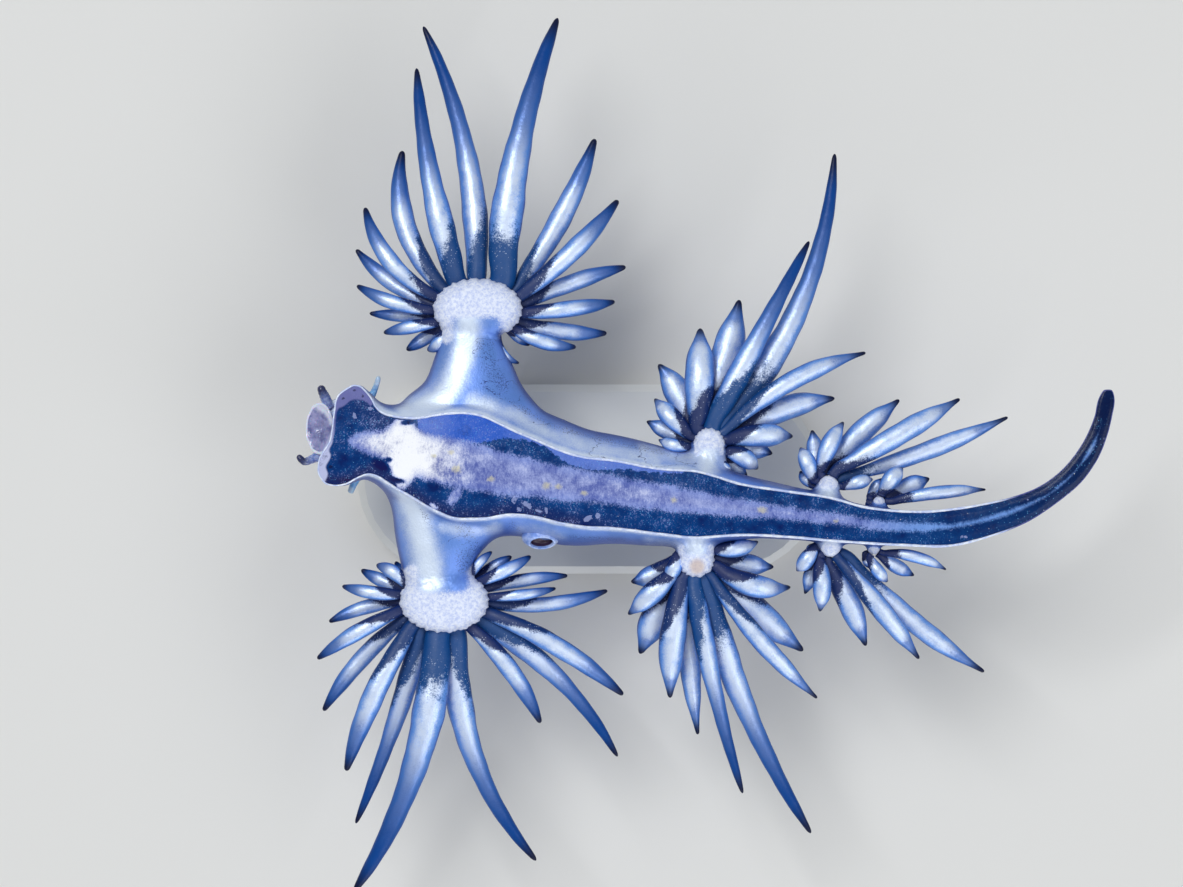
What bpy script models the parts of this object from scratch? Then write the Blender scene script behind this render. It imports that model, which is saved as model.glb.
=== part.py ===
"""Blue dragon sea slug (Glaucus atlanticus) at life size, as a still museum model on a display stand.

The animal floats foot side up, as it does under the water surface. +Z is the side of its foot, its
head points to -X and its own left side is +Y. The origin is on the floor, under the middle of the
stand. Sizes are in millimetres, and mesh_object() turns them into metres.
"""

import math

import bmesh
import bpy
import numpy as np

MM = 0.001
GAP = 0.3  # left open between two parts that touch

# Heights
BASE_HEIGHT = 2.0
SOLE_Z = 10.6

# Body rows: x, y of the middle of the foot, half width of the foot, half width of the body
# to the left and to the right, and depth from the sole to the back
BODY_ROWS = [
    (-11.0, 1.95, 1.70, 1.90, 1.70, 2.4),
    (-9.9, 1.65, 1.48, 2.05, 1.72, 3.2),
    (-8.7, 1.2, 1.66, 2.48, 2.20, 4.0),
    (-6.4, 0.7, 2.35, 3.20, 3.00, 4.8),
    (-4.1, 0.4, 2.10, 3.30, 3.10, 5.0),
    (-1.4, -0.3, 1.66, 3.20, 2.70, 4.8),
    (0.5, -0.6, 1.60, 2.85, 2.40, 4.4),
    (2.8, -0.9, 1.52, 2.65, 2.15, 4.0),
    (5.1, -1.1, 1.50, 2.25, 1.95, 3.5),
    (7.4, -1.4, 1.22, 1.70, 1.40, 2.9),
    (9.7, -1.6, 1.06, 1.32, 1.20, 2.4),
    (12.0, -1.9, 0.94, 1.05, 1.05, 2.0),
    (14.3, -2.2, 0.82, 0.88, 0.88, 1.7),
    (16.6, -2.2, 0.80, 0.82, 0.82, 1.5),
    (18.9, -1.7, 0.78, 0.78, 0.78, 1.4),
    (20.9, -0.7, 0.69, 0.69, 0.69, 1.25),
    (22.4, 0.5, 0.60, 0.60, 0.60, 1.05),
    (23.1, 1.6, 0.50, 0.50, 0.50, 0.9),
    (23.6, 2.7, 0.41, 0.41, 0.41, 0.8),
    (23.9, 3.7, 0.30, 0.30, 0.30, 0.65),
    (24.0, 4.2, 0.16, 0.16, 0.16, 0.4),
]
BODY_STEP = 1.15  # between the rings of the body
NECK_X, WAIST_X, HIP_X, TAIL_X, BEND_X, END_X = -10.0, 0.2, 7.8, 14.0, 18.9, 22.2

# The foot's raised rim
RIM_WIDTH = 0.16
RIM_HEIGHT = 0.14

# Flare of the foot round the head: its right and left edge points, side inset and depth, front first
HEAD_FLARE = [
    ((-12.45, 0.65), (-11.80, 3.15), 0.02, 0.40),
    ((-12.38, 0.15), (-11.60, 3.75), 0.04, 0.60),
    ((-12.05, -0.18), (-11.25, 4.22), 0.08, 0.90),
    ((-11.50, -0.20), (-10.85, 4.38), 0.15, 1.35),
    ((-11.00, -0.05), (-10.35, 4.12), 0.12, 1.95),
    ((-10.70, 0.10), (-9.95, 3.70), 0.02, 2.60),
]
SNOUT_CENTRE = (-11.90, 2.30, SOLE_Z - 1.40)
SNOUT_RADII = (1.25, 1.40, 1.05)
SNOUT_TURN = math.radians(-12)
LIP_CENTRE = (-12.55, 2.35, SOLE_Z - 0.95)
LIP_RADII = (0.50, 1.05)
LIP_TUBE = 0.17
LIP_TILT = math.radians(-38)

# Feelers: root, tip, and radius at both
FEELERS = {
    "oral_tentacle_left": ((-12.28, 3.72, SOLE_Z - 1.15), (-12.42, 4.32, SOLE_Z - 1.0), 0.26, 0.15),
    "oral_tentacle_right": ((-12.92, 0.98, SOLE_Z - 1.15), (-13.45, 1.08, SOLE_Z - 1.0), 0.26, 0.16),
    "rhinophore_left": ((-10.05, 4.08, SOLE_Z - 2.1), (-9.80, 4.78, SOLE_Z - 1.9), 0.25, 0.14),
    "rhinophore_right": ((-10.92, -0.26, SOLE_Z - 2.2), (-11.12, -0.70, SOLE_Z - 2.3), 0.25, 0.16),
}

# Front arms: y, front edge x, rear edge x, top and bottom below the sole, from the trunk to the pad
LEFT_ARM = [
    (1.6, -9.0, -1.6, -0.60, -4.2),
    (3.0, -8.9, -2.0, -0.50, -4.0),
    (3.8, -8.6, -2.7, -0.55, -3.9),
    (4.5, -7.7, -3.2, -0.70, -3.8),
    (5.2, -7.4, -3.5, -0.85, -3.6),
    (6.0, -7.1, -3.9, -0.95, -3.4),
    (6.8, -6.9, -4.2, -1.00, -3.2),
]
RIGHT_ARM = [
    (-0.4, -9.6, -2.2, -0.60, -4.2),
    (-1.4, -9.2, -2.9, -0.55, -4.0),
    (-2.4, -9.1, -4.0, -0.65, -3.9),
    (-3.0, -9.0, -4.7, -0.75, -3.8),
    (-3.8, -8.8, -5.3, -0.90, -3.5),
    (-4.6, -8.6, -5.5, -1.00, -3.2),
]
LEFT_SHOULDER_Y, LEFT_WRIST_Y = 4.9, 6.75
RIGHT_SHOULDER_Y, RIGHT_WRIST_Y = -3.1, -4.45

# Pore on the right side: a raised collar
PORE_CENTRE = (-2.2, -2.75, SOLE_Z - 1.7)
PORE_RADII = (0.85, 0.55, 0.75)
PORE_HOLE = (0.45, 0.30)

# Short arms that carry the middle fans: half width, half depth and length, most of it in the trunk
MID_ARM_RADII = (0.85, 0.80)
MID_ARM_LENGTH = 1.8
MID_ARM_LEFT_Y, MID_ARM_RIGHT_Y = 1.35, -3.25

# A ceras is widest at its belly. Long ones carry it nearer the root. Its width is the fan's base
# width plus a gain for each millimetre of length
SLENDER = (0.50, 0.075)
PLUMP = (0.68, 0.045)
CERAS_FLATNESS = 0.80
CERAS_LEAST_DEPTH = 0.50
CERAS_DROOP = 0.13
CERAS_STAGGER = 0.14
LONG_CERAS = 7.0

# Fans: pad centre x and y, its height below the sole, its radii, where the pad starts,
# and the bearings of its first and last root. Each ceras has a bearing, a length and a bow
FANS = {
    "cerata_front_left": {
        "pad": (-5.2, 7.9, -2.0),
        "radii": (2.0, 1.35, 1.15),
        "face_y": LEFT_WRIST_Y + GAP / 2,
        "roots": (212, -32),
        "girth": SLENDER,
        "cerata": [
            (226, 1.3, 0.10), (213, 2.0, 0.0), (191, 2.6, 0.0), (177, 3.1, 0.01), (162, 3.8, 0.06),
            (145, 4.5, 0.07), (129, 5.4, 0.12), (107, 6.8, 0.13), (101, 10.2, 0.03),
            (102, 12.1, -0.06), (78, 12.7, 0.04), (62, 8.1, -0.04), (44, 6.5, -0.04),
            (20, 5.2, 0.03), (7, 4.4, -0.02), (-7, 4.2, -0.04), (-17, 3.1, -0.07), (-32, 1.5, 0.0),
        ],
    },
    "cerata_front_right": {
        "pad": (-6.75, -5.6, -2.0),
        "radii": (2.0, 1.40, 1.15),
        "face_y": RIGHT_WRIST_Y - GAP / 2,
        "roots": (160, 402),
        "girth": SLENDER,
        "cerata": [
            (147, 1.7, -0.10), (157, 2.2, 0.04), (172, 2.8, 0.03), (196, 3.5, -0.05),
            (210, 4.6, -0.03), (228, 5.9, -0.05), (245, 7.6, -0.04), (251, 9.7, 0.02),
            (252, 12.9, 0.07), (289, 11.4, -0.10), (306, 5.6, 0.06), (315, 9.1, 0.07),
            (329, 7.5, 0.05), (366, 5.6, -0.06), (368, 3.2, -0.03), (372, 3.9, 0.03),
            (386, 2.7, -0.03), (394, 2.0, 0.0), (412, 1.5, 0.07),
        ],
    },
    "cerata_mid_left": {
        "pad": (5.5, 1.75, -1.5),
        "radii": (0.90, 0.85, 0.80),
        "face_y": MID_ARM_LEFT_Y + GAP / 2,
        "roots": (178, -6),
        "girth": PLUMP,
        "cerata": [
            (166, 1.6, 0.06), (152, 2.2, 0.0), (134, 2.5, 0.02), (117, 3.5, -0.06), (88, 4.6, 0.0),
            (74, 6.0, -0.03), (62, 9.6, 0.05), (67, 13.8, -0.09), (29, 7.5, 0.07), (19, 5.3, 0.06),
            (5, 3.0, 0.05), (-5, 2.1, 0.03), (-13, 1.7, 0.0),
        ],
    },
    "cerata_mid_right": {
        "pad": (4.9, -3.75, -1.5),
        "radii": (0.90, 0.90, 0.80),
        "face_y": MID_ARM_RIGHT_Y - GAP / 2,
        "roots": (186, 354),
        "girth": PLUMP,
        "cerata": [
            (196, 1.6, 0.0), (208, 2.3, 0.08), (223, 3.1, 0.01), (244, 4.2, -0.02),
            (264, 5.7, -0.03), (274, 7.3, -0.02), (283, 10.2, -0.02), (293, 12.9, -0.04),
            (311, 7.6, -0.03), (318, 5.6, -0.02), (341, 3.6, -0.11), (350, 2.7, -0.03),
            (352, 2.0, 0.0),
        ],
    },
    "cerata_rear_left": {
        "pad": (11.0, -0.10, -1.1),
        "radii": (0.75, 0.60, 0.60),
        "face_y": -0.32,
        "roots": (170, 10),
        "girth": PLUMP,
        "cerata": [
            (111, 1.8, 0.0), (94, 2.2, -0.04), (64, 2.8, 0.05), (43, 5.0, 0.02), (30, 6.9, 0.0),
            (20, 8.4, -0.02),
        ],
    },
    "cerata_rear_right": {
        "pad": (11.1, -3.35, -1.1),
        "radii": (0.75, 0.60, 0.60),
        "face_y": -3.18,
        "roots": (190, 345),
        "girth": PLUMP,
        "cerata": [
            (233, 1.6, 0.03), (257, 2.1, 0.04), (272, 2.6, 0.05), (295, 4.4, 0.03),
            (309, 6.0, 0.01), (320, 8.6, -0.04),
        ],
    },
    "cerata_last_left": {
        "pad": (13.35, -0.80, -1.1),
        "radii": (0.50, 0.36, 0.42),
        "face_y": -0.88,
        "roots": (100, 20),
        "girth": SLENDER,
        "cerata": [(62, 1.1, 0.0), (28, 2.1, 0.0), (8, 4.6, 0.03)],
    },
    "cerata_last_right": {
        "pad": (13.1, -3.42, -1.1),
        "radii": (0.50, 0.36, 0.42),
        "face_y": -3.35,
        "roots": (270, 345),
        "girth": SLENDER,
        "cerata": [(305, 1.2, 0.0), (328, 1.8, 0.0), (345, 3.0, 0.06)],
    },
}

# Display stand
BASE_LENGTH, BASE_WIDTH = 22.0, 9.0
BASE_EDGE = 0.35
ROD_RADIUS = 0.75
ROD_XS = {"stand_rod_front": -5.0, "stand_rod_rear": 4.6}

# Colours, roughness and metallic of each material
FINISHES = {
    "sole": ((0.012, 0.035, 0.16), 0.30, 0.0),
    "side": ((0.26, 0.36, 0.66), 0.32, 0.0),
    "cerata": ((0.12, 0.20, 0.50), 0.32, 0.0),
    "feeler": ((0.30, 0.48, 0.75), 0.35, 0.0),
    "base": ((0.80, 0.80, 0.79), 0.45, 0.0),
    "rod": ((0.62, 0.63, 0.65), 0.28, 1.0),
}


def clear_scene():
    for old in list(bpy.data.objects):
        bpy.data.objects.remove(old, do_unlink=True)


def material(name):
    """The named Principled material, made on first use."""
    made = bpy.data.materials.get(name)
    if made:
        return made
    colour, roughness, metallic = FINISHES[name]
    made = bpy.data.materials.new(name)
    made.use_nodes = True
    shader = made.node_tree.nodes["Principled BSDF"]
    shader.inputs["Base Color"].default_value = (*colour, 1)
    shader.inputs["Roughness"].default_value = roughness
    shader.inputs["Metallic"].default_value = metallic
    return made


def smooth(knots, at):
    """Value at a point of a smooth curve through (position, value) knots."""
    xs = [k[0] for k in knots]
    ys = [k[1] for k in knots]
    if at <= xs[0]:
        return ys[0]
    if at >= xs[-1]:
        return ys[-1]
    i = max(k for k in range(len(xs) - 1) if xs[k] <= at)

    def slope(k):
        a, b = max(k - 1, 0), min(k + 1, len(xs) - 1)
        return (ys[b] - ys[a]) / (xs[b] - xs[a])

    span = xs[i + 1] - xs[i]
    t = (at - xs[i]) / span
    rise = ys[i] + span * slope(i) * t * (1 - t) ** 2
    fall = span * slope(i + 1) * t * t * (1 - t)
    blend = t * t * (3 - 2 * t)
    return rise + blend * (ys[i + 1] - ys[i]) - fall


def loft(rings, tip=None):
    """Vertices and faces of a closed skin over rings of equal length, flat at both ends.
    With a tip, the last ring closes on that point."""
    n = len(rings[0])
    verts = [tuple(p) for ring in rings for p in ring]
    faces = [tuple(range(n))]
    for r in range(len(rings) - 1):
        for k in range(n):
            a, b = r * n + k, r * n + (k + 1) % n
            faces.append((a, b, b + n, a + n))
    last = (len(rings) - 1) * n
    if tip is None:
        faces.append(tuple(range(last, last + n)))
    else:
        verts.append(tuple(tip))
        faces += [(last + k, last + (k + 1) % n, len(verts) - 1) for k in range(n)]
    return verts, faces


def mesh_object(name, shape, finish):
    """An object from vertices in millimetres and faces, its faces turned outward."""
    verts, faces = shape
    mesh = bpy.data.meshes.new(name)
    mesh.from_pydata([tuple(c * MM for c in v) for v in verts], [], faces)
    bm = bmesh.new()
    bm.from_mesh(mesh)
    bmesh.ops.recalc_face_normals(bm, faces=bm.faces)
    bm.to_mesh(mesh)
    bm.free()
    made = bpy.data.objects.new(name, mesh)
    bpy.context.scene.collection.objects.link(made)
    mesh.materials.append(material(finish))
    mesh.shade_smooth()
    mesh.set_sharp_from_angle(angle=math.radians(50))
    return made


def keep_largest(bm):
    """Deletes all but the largest closed surface."""
    left = set(bm.faces)
    shells = []
    while left:
        shell, edge = set(), [left.pop()]
        while edge:
            face = edge.pop()
            shell.add(face)
            for other in (f for e in face.edges for f in e.link_faces if f in left):
                left.discard(other)
                edge.append(other)
        shells.append(shell)
    shells.sort(key=lambda shell: sum(f.calc_area() for f in shell))
    scraps = [face for shell in shells[:-1] for face in shell]
    bmesh.ops.delete(bm, geom=scraps, context="FACES")


def settle(made):
    """Applies the modifiers of an object and keeps its largest closed surface."""
    bpy.context.view_layer.update()
    evaluated = made.evaluated_get(bpy.context.evaluated_depsgraph_get())
    bm = bmesh.new()
    bm.from_mesh(evaluated.to_mesh())
    evaluated.to_mesh_clear()
    keep_largest(bm)
    made.modifiers.clear()
    bm.to_mesh(made.data)
    bm.free()


def fuse(made, shapes, operation="UNION"):
    """Joins closed shapes to an object, or cuts them out of it, and applies the result."""
    group = bpy.data.collections.new(made.name + "_pieces")
    bpy.context.scene.collection.children.link(group)
    for shape in shapes:
        piece = mesh_object("piece", shape, "side")
        bpy.context.scene.collection.objects.unlink(piece)
        group.objects.link(piece)
    join = made.modifiers.new("fuse", "BOOLEAN")
    join.operation = operation
    join.operand_type = "COLLECTION"
    join.collection = group
    join.solver = "MANIFOLD"
    settle(made)
    for piece in list(group.objects):
        bpy.data.objects.remove(piece, do_unlink=True)
    bpy.data.collections.remove(group)


def oval(centre, u, v, sides, power=1.0):
    """Points round an oval spanned by the half axes u and v. A power under 1 squares it."""
    points = []
    for k in range(sides):
        angle = 2 * math.pi * (k + 0.5) / sides
        cos, sin = math.cos(angle), math.sin(angle)
        a = math.copysign(abs(cos) ** power, cos)
        b = math.copysign(abs(sin) ** power, sin)
        points.append([centre[i] + a * u[i] + b * v[i] for i in range(3)])
    return points


def body_ring(centre, across, foot, left, right, depth):
    """Outline of the body across its length: the sole with its raised rim, the sides and the back.
    across is the unit direction to the animal's left."""
    half = []
    scale = min(1.0, foot)
    rim, height = RIM_WIDTH * scale, RIM_HEIGHT * scale
    for side in (left, right):
        side = max(side, 0.2 * foot)
        half.append([
            (0.55 * foot, 0.04 * scale),
            (foot - 2 * rim, -0.05 * scale),
            (foot - rim, height),
            (foot, height),
            (foot + 0.4 * rim, -0.3 * height),
            (max(foot + 0.65 * (side - foot), 0.9 * foot), -0.18 * depth - 0.02),
            (side, -0.45 * depth),
            (0.86 * side, -0.75 * depth),
            (0.50 * side, -0.94 * depth),
        ])
    profile = [(0.0, 0.10 * scale)] + half[0] + [(0.0, -depth)]
    profile += [(-u, z) for u, z in reversed(half[1])]
    x, y, z = centre
    return [(x + u * across[0], y + u * across[1], z + dz) for u, dz in profile]


def body_station(at):
    """Ring of the body at a distance along its middle line from the first row."""
    spans = [math.dist(a[:2], b[:2]) for a, b in zip(BODY_ROWS, BODY_ROWS[1:])]
    places = np.concatenate([[0], np.cumsum(spans)])
    tracks = [list(zip(places, column)) for column in zip(*BODY_ROWS)]
    x, y, foot, left, right, depth = (smooth(track, at) for track in tracks)
    ahead = [smooth(track, at + 0.05) for track in tracks[:2]]
    behind = [smooth(track, at - 0.05) for track in tracks[:2]]
    run = math.dist(ahead, behind)
    across = (-(ahead[1] - behind[1]) / run, (ahead[0] - behind[0]) / run)
    return body_ring((x, y, SOLE_Z), across, foot, left, right, depth)


def distance_along(x):
    """Distance along the body's middle line at a given x."""
    spans = [math.dist(a[:2], b[:2]) for a, b in zip(BODY_ROWS, BODY_ROWS[1:])]
    return float(np.interp(x, [row[0] for row in BODY_ROWS], np.concatenate([[0], np.cumsum(spans)])))


def body_length(start_x, end_x):
    """Shape of one length of the body between two cuts."""
    start, end = distance_along(start_x) + GAP / 2, distance_along(end_x) - GAP / 2
    steps = max(2, round((end - start) / BODY_STEP))
    return loft([body_station(start + (end - start) * k / steps) for k in range(steps + 1)])


def tail_tip():
    start, end = distance_along(END_X) + GAP / 2, distance_along(BODY_ROWS[-1][0])
    steps = round((end - start) / (0.7 * BODY_STEP))
    rings = [body_station(start + (end - start) * k / steps) for k in range(steps + 1)]
    last = np.mean(rings[-1], axis=0)
    before = np.mean(rings[-2], axis=0)
    return loft(rings, tip=last + 0.25 * (last - before))


def arm_shape(rows, start_y, end_y):
    """Shape of a front arm between two values of y, through rows from the trunk to the pad."""
    ordered = sorted(rows)
    steps = max(2, round(abs(end_y - start_y) / 0.7))
    rings = []
    for k in range(steps + 1):
        y = start_y + (end_y - start_y) * k / steps
        front, rear, top, bottom = (smooth([(r[0], r[i]) for r in ordered], y) for i in range(1, 5))
        centre = ((front + rear) / 2, y, SOLE_Z + (top + bottom) / 2)
        rings.append(oval(centre, ((rear - front) / 2, 0, 0), (0, 0, (top - bottom) / 2), 16, 0.85))
    return loft(rings)


def straight_arm(x, z, radii, start_y, end_y):
    """A short arm of even section along y."""
    rings = [oval((x, y, z), (radii[0], 0, 0), (0, 0, radii[1]), 14, 0.9) for y in (start_y, end_y)]
    return loft(rings)


def ball(centre, radii, turn=0.0, sides=14, rows=8):
    """An ellipsoid with its poles along y, turned about z."""
    cos, sin = math.cos(turn), math.sin(turn)
    rings = []
    for k in range(1, rows):
        angle = math.pi * k / rows
        reach, along = math.sin(angle), -math.cos(angle) * radii[1]
        u = (radii[0] * reach * cos, radii[0] * reach * sin, 0)
        middle = (centre[0] - along * sin, centre[1] + along * cos, centre[2])
        rings.append(oval(middle, u, (0, 0, radii[2] * reach), sides))
    return loft(rings)


def pad_shape(pad, radii, face_y):
    """The swollen end of an arm: an ellipsoid cut flat where the arm meets it."""
    side = 1 if pad[1] > face_y or pad[1] == face_y else -1
    start = max(-0.95, min(0.0, side * (face_y - pad[1]) / radii[1]))
    rings = []
    for k in range(6):
        along = math.sin(math.asin(start) + (math.radians(78) - math.asin(start)) * k / 5)
        reach = math.sqrt(1 - along * along)
        centre = (pad[0], pad[1] + side * along * radii[1], SOLE_Z + pad[2])
        rings.append(oval(centre, (radii[0] * reach, 0, 0), (0, 0, radii[2] * reach), 16))
    return loft(rings)


def ceras_shape(root, sunk, bearing, length, width, bow, lift):
    """A finger of a fan: a tapering, slightly flattened spindle. It starts at sunk inside the pad and
    leaves it at root. bow bends it to the left of its bearing by that share of its length."""
    long = length > LONG_CERAS
    sides, belly = (8, 0.30) if long else (6, 0.42)
    stations = (0.0, 0.12, 0.28, 0.46, 0.64, 0.82, 0.94) if long else (0.0, 0.22, 0.48, 0.74, 0.92)
    girth = [(0.0, 0.76), (belly, 1.0), (0.72, 0.66), (0.92, 0.32), (1.0, 0.16)]
    aim = (math.cos(bearing), math.sin(bearing))
    left = (-aim[1], aim[0])

    def point(t):
        side = 4 * bow * length * t * (1 - t)
        x = root[0] + aim[0] * length * t + left[0] * side
        y = root[1] + aim[1] * length * t + left[1] * side
        return x, y, root[2] + lift * math.sin(math.pi * t) - CERAS_DROOP * length * t ** 1.6

    def ring(centre, heading, share):
        across = (-math.sin(heading) * width * share / 2, math.cos(heading) * width * share / 2, 0)
        depth = max(CERAS_FLATNESS * width, CERAS_LEAST_DEPTH) * share / 2
        return oval(centre, across, (0, 0, depth), sides)

    entry = math.atan2(root[1] - sunk[1], root[0] - sunk[0])
    rings = [ring(sunk, entry, 0.62)]
    for t in stations:
        (xa, ya, _), (xb, yb, _) = point(t - 0.02), point(t + 0.02)
        rings.append(ring(point(t), math.atan2(yb - ya, xb - xa), smooth(girth, t)))
    return loft(rings, tip=point(1.0))


def fan_cerata(fan):
    """Shapes of all cerata of a fan. Each takes room on the pad's rim in step with its width."""
    (px, py, pz), radii = fan["pad"], fan["radii"]
    base, gain = fan["girth"]
    rooms = [base + gain * length for _, length, _ in fan["cerata"]]
    first, last = fan["roots"]
    shapes = []
    for k, (bearing, length, bow) in enumerate(fan["cerata"]):
        passed = sum(rooms[:k]) + (rooms[k] - rooms[0]) / 2
        share = passed / (sum(rooms) - (rooms[0] + rooms[-1]) / 2)
        angle = math.radians(first + (last - first) * share)
        out = (radii[0] * math.cos(angle), radii[1] * math.sin(angle))
        stagger = CERAS_STAGGER * (1 if k % 2 else -1)
        z = SOLE_Z + pz - 0.25 * radii[2] + stagger
        root = (px + out[0], py + out[1], z)
        sunk = (px + 0.45 * out[0], py + 0.45 * out[1], z)
        shapes.append(ceras_shape(root, sunk, math.radians(bearing), length, rooms[k], bow, 2.5 * stagger))
    return shapes


def build_head():
    rings = []
    for right, left, inset, depth in HEAD_FLARE:
        centre = ((right[0] + left[0]) / 2, (right[1] + left[1]) / 2, SOLE_Z)
        foot = math.dist(right, left) / 2
        across = ((left[0] - right[0]) / (2 * foot), (left[1] - right[1]) / (2 * foot))
        rings.append(body_ring(centre, across, foot, foot * (1 - inset), foot * (1 - inset), depth))
    rings.append(body_station(distance_along(NECK_X) - GAP / 2))
    head = mesh_object("head", loft(rings), "sole")
    lips = []
    for k in range(14):
        angle = 2 * math.pi * k / 14
        out = (math.cos(angle) * math.cos(LIP_TILT), math.sin(angle), -math.cos(angle) * math.sin(LIP_TILT))
        centre = [
            LIP_CENTRE[0] + LIP_RADII[0] * out[0],
            LIP_CENTRE[1] + LIP_RADII[1] * out[1],
            LIP_CENTRE[2] + LIP_RADII[0] * out[2],
        ]
        normal = (math.sin(LIP_TILT), 0, math.cos(LIP_TILT))
        size = math.sqrt(sum(c * c for c in out))
        u = [LIP_TUBE * c / size for c in out]
        lips.append(oval(centre, u, [LIP_TUBE * c for c in normal], 6))
    n = len(lips)
    verts = [tuple(p) for ring in lips for p in ring]
    faces = [
        (r * 6 + k, r * 6 + (k + 1) % 6, (r + 1) % n * 6 + (k + 1) % 6, (r + 1) % n * 6 + k)
        for r in range(n) for k in range(6)
    ]
    fuse(head, [ball(SNOUT_CENTRE, SNOUT_RADII, SNOUT_TURN), (verts, faces)])


def build_feelers():
    for name, (root, tip, root_radius, tip_radius) in FEELERS.items():
        heading = np.subtract(tip, root)
        length = np.linalg.norm(heading)
        heading = heading / length
        u = np.cross(heading, (0, 0, 1))
        u /= np.linalg.norm(u)
        v = np.cross(u, heading)
        rings = []
        for t, swell in ((0.0, 1.0), (0.4, 0.95), (0.8, 0.9), (1.0, 0.7)):
            radius = (root_radius + (tip_radius - root_radius) * t) * swell
            rings.append(oval(np.array(root) + heading * length * t, u * radius, v * radius, 8))
        end = np.array(tip) + heading * tip_radius * 0.6
        mesh_object(name, loft(rings, tip=end), "feeler")


def build_trunk():
    front = mesh_object("trunk_front", body_length(NECK_X, WAIST_X), "side")
    pore = ball(PORE_CENTRE, PORE_RADII)
    fuse(front, [
        arm_shape(LEFT_ARM, LEFT_ARM[0][0], LEFT_SHOULDER_Y - GAP / 2),
        arm_shape(RIGHT_ARM, RIGHT_ARM[0][0], RIGHT_SHOULDER_Y + GAP / 2),
        pore,
    ])
    x, y, z = PORE_CENTRE
    hole = ball((x, y - PORE_RADII[1], z), (PORE_HOLE[0], 0.35, PORE_HOLE[1]), sides=10, rows=6)
    fuse(front, [hole], "DIFFERENCE")
    middle = mesh_object("trunk_mid", body_length(WAIST_X, HIP_X), "side")
    stubs = []
    ends = {"cerata_mid_left": MID_ARM_LEFT_Y - GAP / 2, "cerata_mid_right": MID_ARM_RIGHT_Y + GAP / 2}
    for name, end in ends.items():
        x, y, z = FANS[name]["pad"]
        start = end - math.copysign(MID_ARM_LENGTH, y - end)
        stubs.append(straight_arm(x, SOLE_Z + z, MID_ARM_RADII, start, end))
    fuse(middle, stubs)
    mesh_object("trunk_rear", body_length(HIP_X, TAIL_X), "side")
    mesh_object("tail_base", body_length(TAIL_X, BEND_X), "sole")
    mesh_object("tail_mid", body_length(BEND_X, END_X), "sole")
    mesh_object("tail_tip", tail_tip(), "sole")


def build_arms():
    left = arm_shape(LEFT_ARM, LEFT_SHOULDER_Y + GAP / 2, LEFT_WRIST_Y - GAP / 2)
    right = arm_shape(RIGHT_ARM, RIGHT_SHOULDER_Y - GAP / 2, RIGHT_WRIST_Y + GAP / 2)
    mesh_object("arm_front_left", left, "side")
    mesh_object("arm_front_right", right, "side")


def build_fans():
    for name, fan in FANS.items():
        pad = mesh_object(name, pad_shape(fan["pad"], fan["radii"], fan["face_y"]), "cerata")
        fuse(pad, fan_cerata(fan))


def build_stand():
    straight = (BASE_LENGTH - BASE_WIDTH) / 2
    outline = []
    for k in range(32):
        angle = 2 * math.pi * (k + 0.5) / 32
        shift = math.copysign(straight, math.cos(angle))
        outline.append((shift + BASE_WIDTH / 2 * math.cos(angle), BASE_WIDTH / 2 * math.sin(angle)))
    rings = []
    for z, inset in ((0.0, 0.0), (BASE_HEIGHT - BASE_EDGE, 0.0), (BASE_HEIGHT, BASE_EDGE)):
        share = 1 - inset / (BASE_WIDTH / 2)
        rings.append([
            (math.copysign(straight, x) + (x - math.copysign(straight, x)) * share, y * share, z)
            for x, y in outline
        ])
    mesh_object("stand_base", loft(rings), "base")
    for name, x in ROD_XS.items():
        row = body_station(distance_along(x))
        foot_x, foot_y, top = min(row, key=lambda p: p[2])
        rings = []
        for z in (BASE_HEIGHT + GAP, top - GAP):
            rings.append(oval((foot_x, foot_y, z), (ROD_RADIUS, 0, 0), (0, ROD_RADIUS, 0), 16))
        mesh_object(name, loft(rings), "rod")


def main():
    clear_scene()
    build_head()
    build_feelers()
    build_trunk()
    build_arms()
    build_fans()
    build_stand()


main()
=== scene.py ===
"""Looks of the blue dragon sea slug (Glaucus atlanticus), a life-size museum model on a small stand.

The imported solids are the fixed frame. A body skin, a foot sole with its rim, eight fans of cerata,
the mouth, the feelers and the pore stand for the solids of flesh, and the stand keeps its own
solids. Lengths are millimetres until make_object() turns them into metres. +Z is the side of the
foot, the head points to -X and the animal's own left is +Y.
"""

import logging
import math
from dataclasses import dataclass, field
from enum import Enum
from typing import Callable, Union

import bpy
import numpy as np
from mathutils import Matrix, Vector


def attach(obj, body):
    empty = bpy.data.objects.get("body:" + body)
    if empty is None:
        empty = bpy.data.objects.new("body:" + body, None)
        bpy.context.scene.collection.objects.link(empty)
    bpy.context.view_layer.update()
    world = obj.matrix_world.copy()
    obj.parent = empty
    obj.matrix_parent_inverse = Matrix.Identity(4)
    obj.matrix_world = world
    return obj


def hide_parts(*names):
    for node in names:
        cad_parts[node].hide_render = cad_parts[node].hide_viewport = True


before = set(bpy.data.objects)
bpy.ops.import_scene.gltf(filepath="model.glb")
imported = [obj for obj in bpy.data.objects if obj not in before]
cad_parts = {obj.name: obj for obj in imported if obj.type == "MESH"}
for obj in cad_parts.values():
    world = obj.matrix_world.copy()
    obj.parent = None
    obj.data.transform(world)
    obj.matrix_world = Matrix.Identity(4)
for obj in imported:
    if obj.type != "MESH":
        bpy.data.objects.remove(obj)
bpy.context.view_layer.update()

LOG = logging.getLogger("sea_slug")
MM = 0.001
SOLE_Z = 10.6
MIDLINE_Y = -1.6  # parts the left fans from the right ones

Array = np.ndarray
Socket = bpy.types.NodeSocket
Value = Union[Socket, float]
Tint = tuple[int, int, int]
Point2 = tuple[float, float]
Point3 = tuple[float, float, float]


# ---- Curves and meshes


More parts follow.
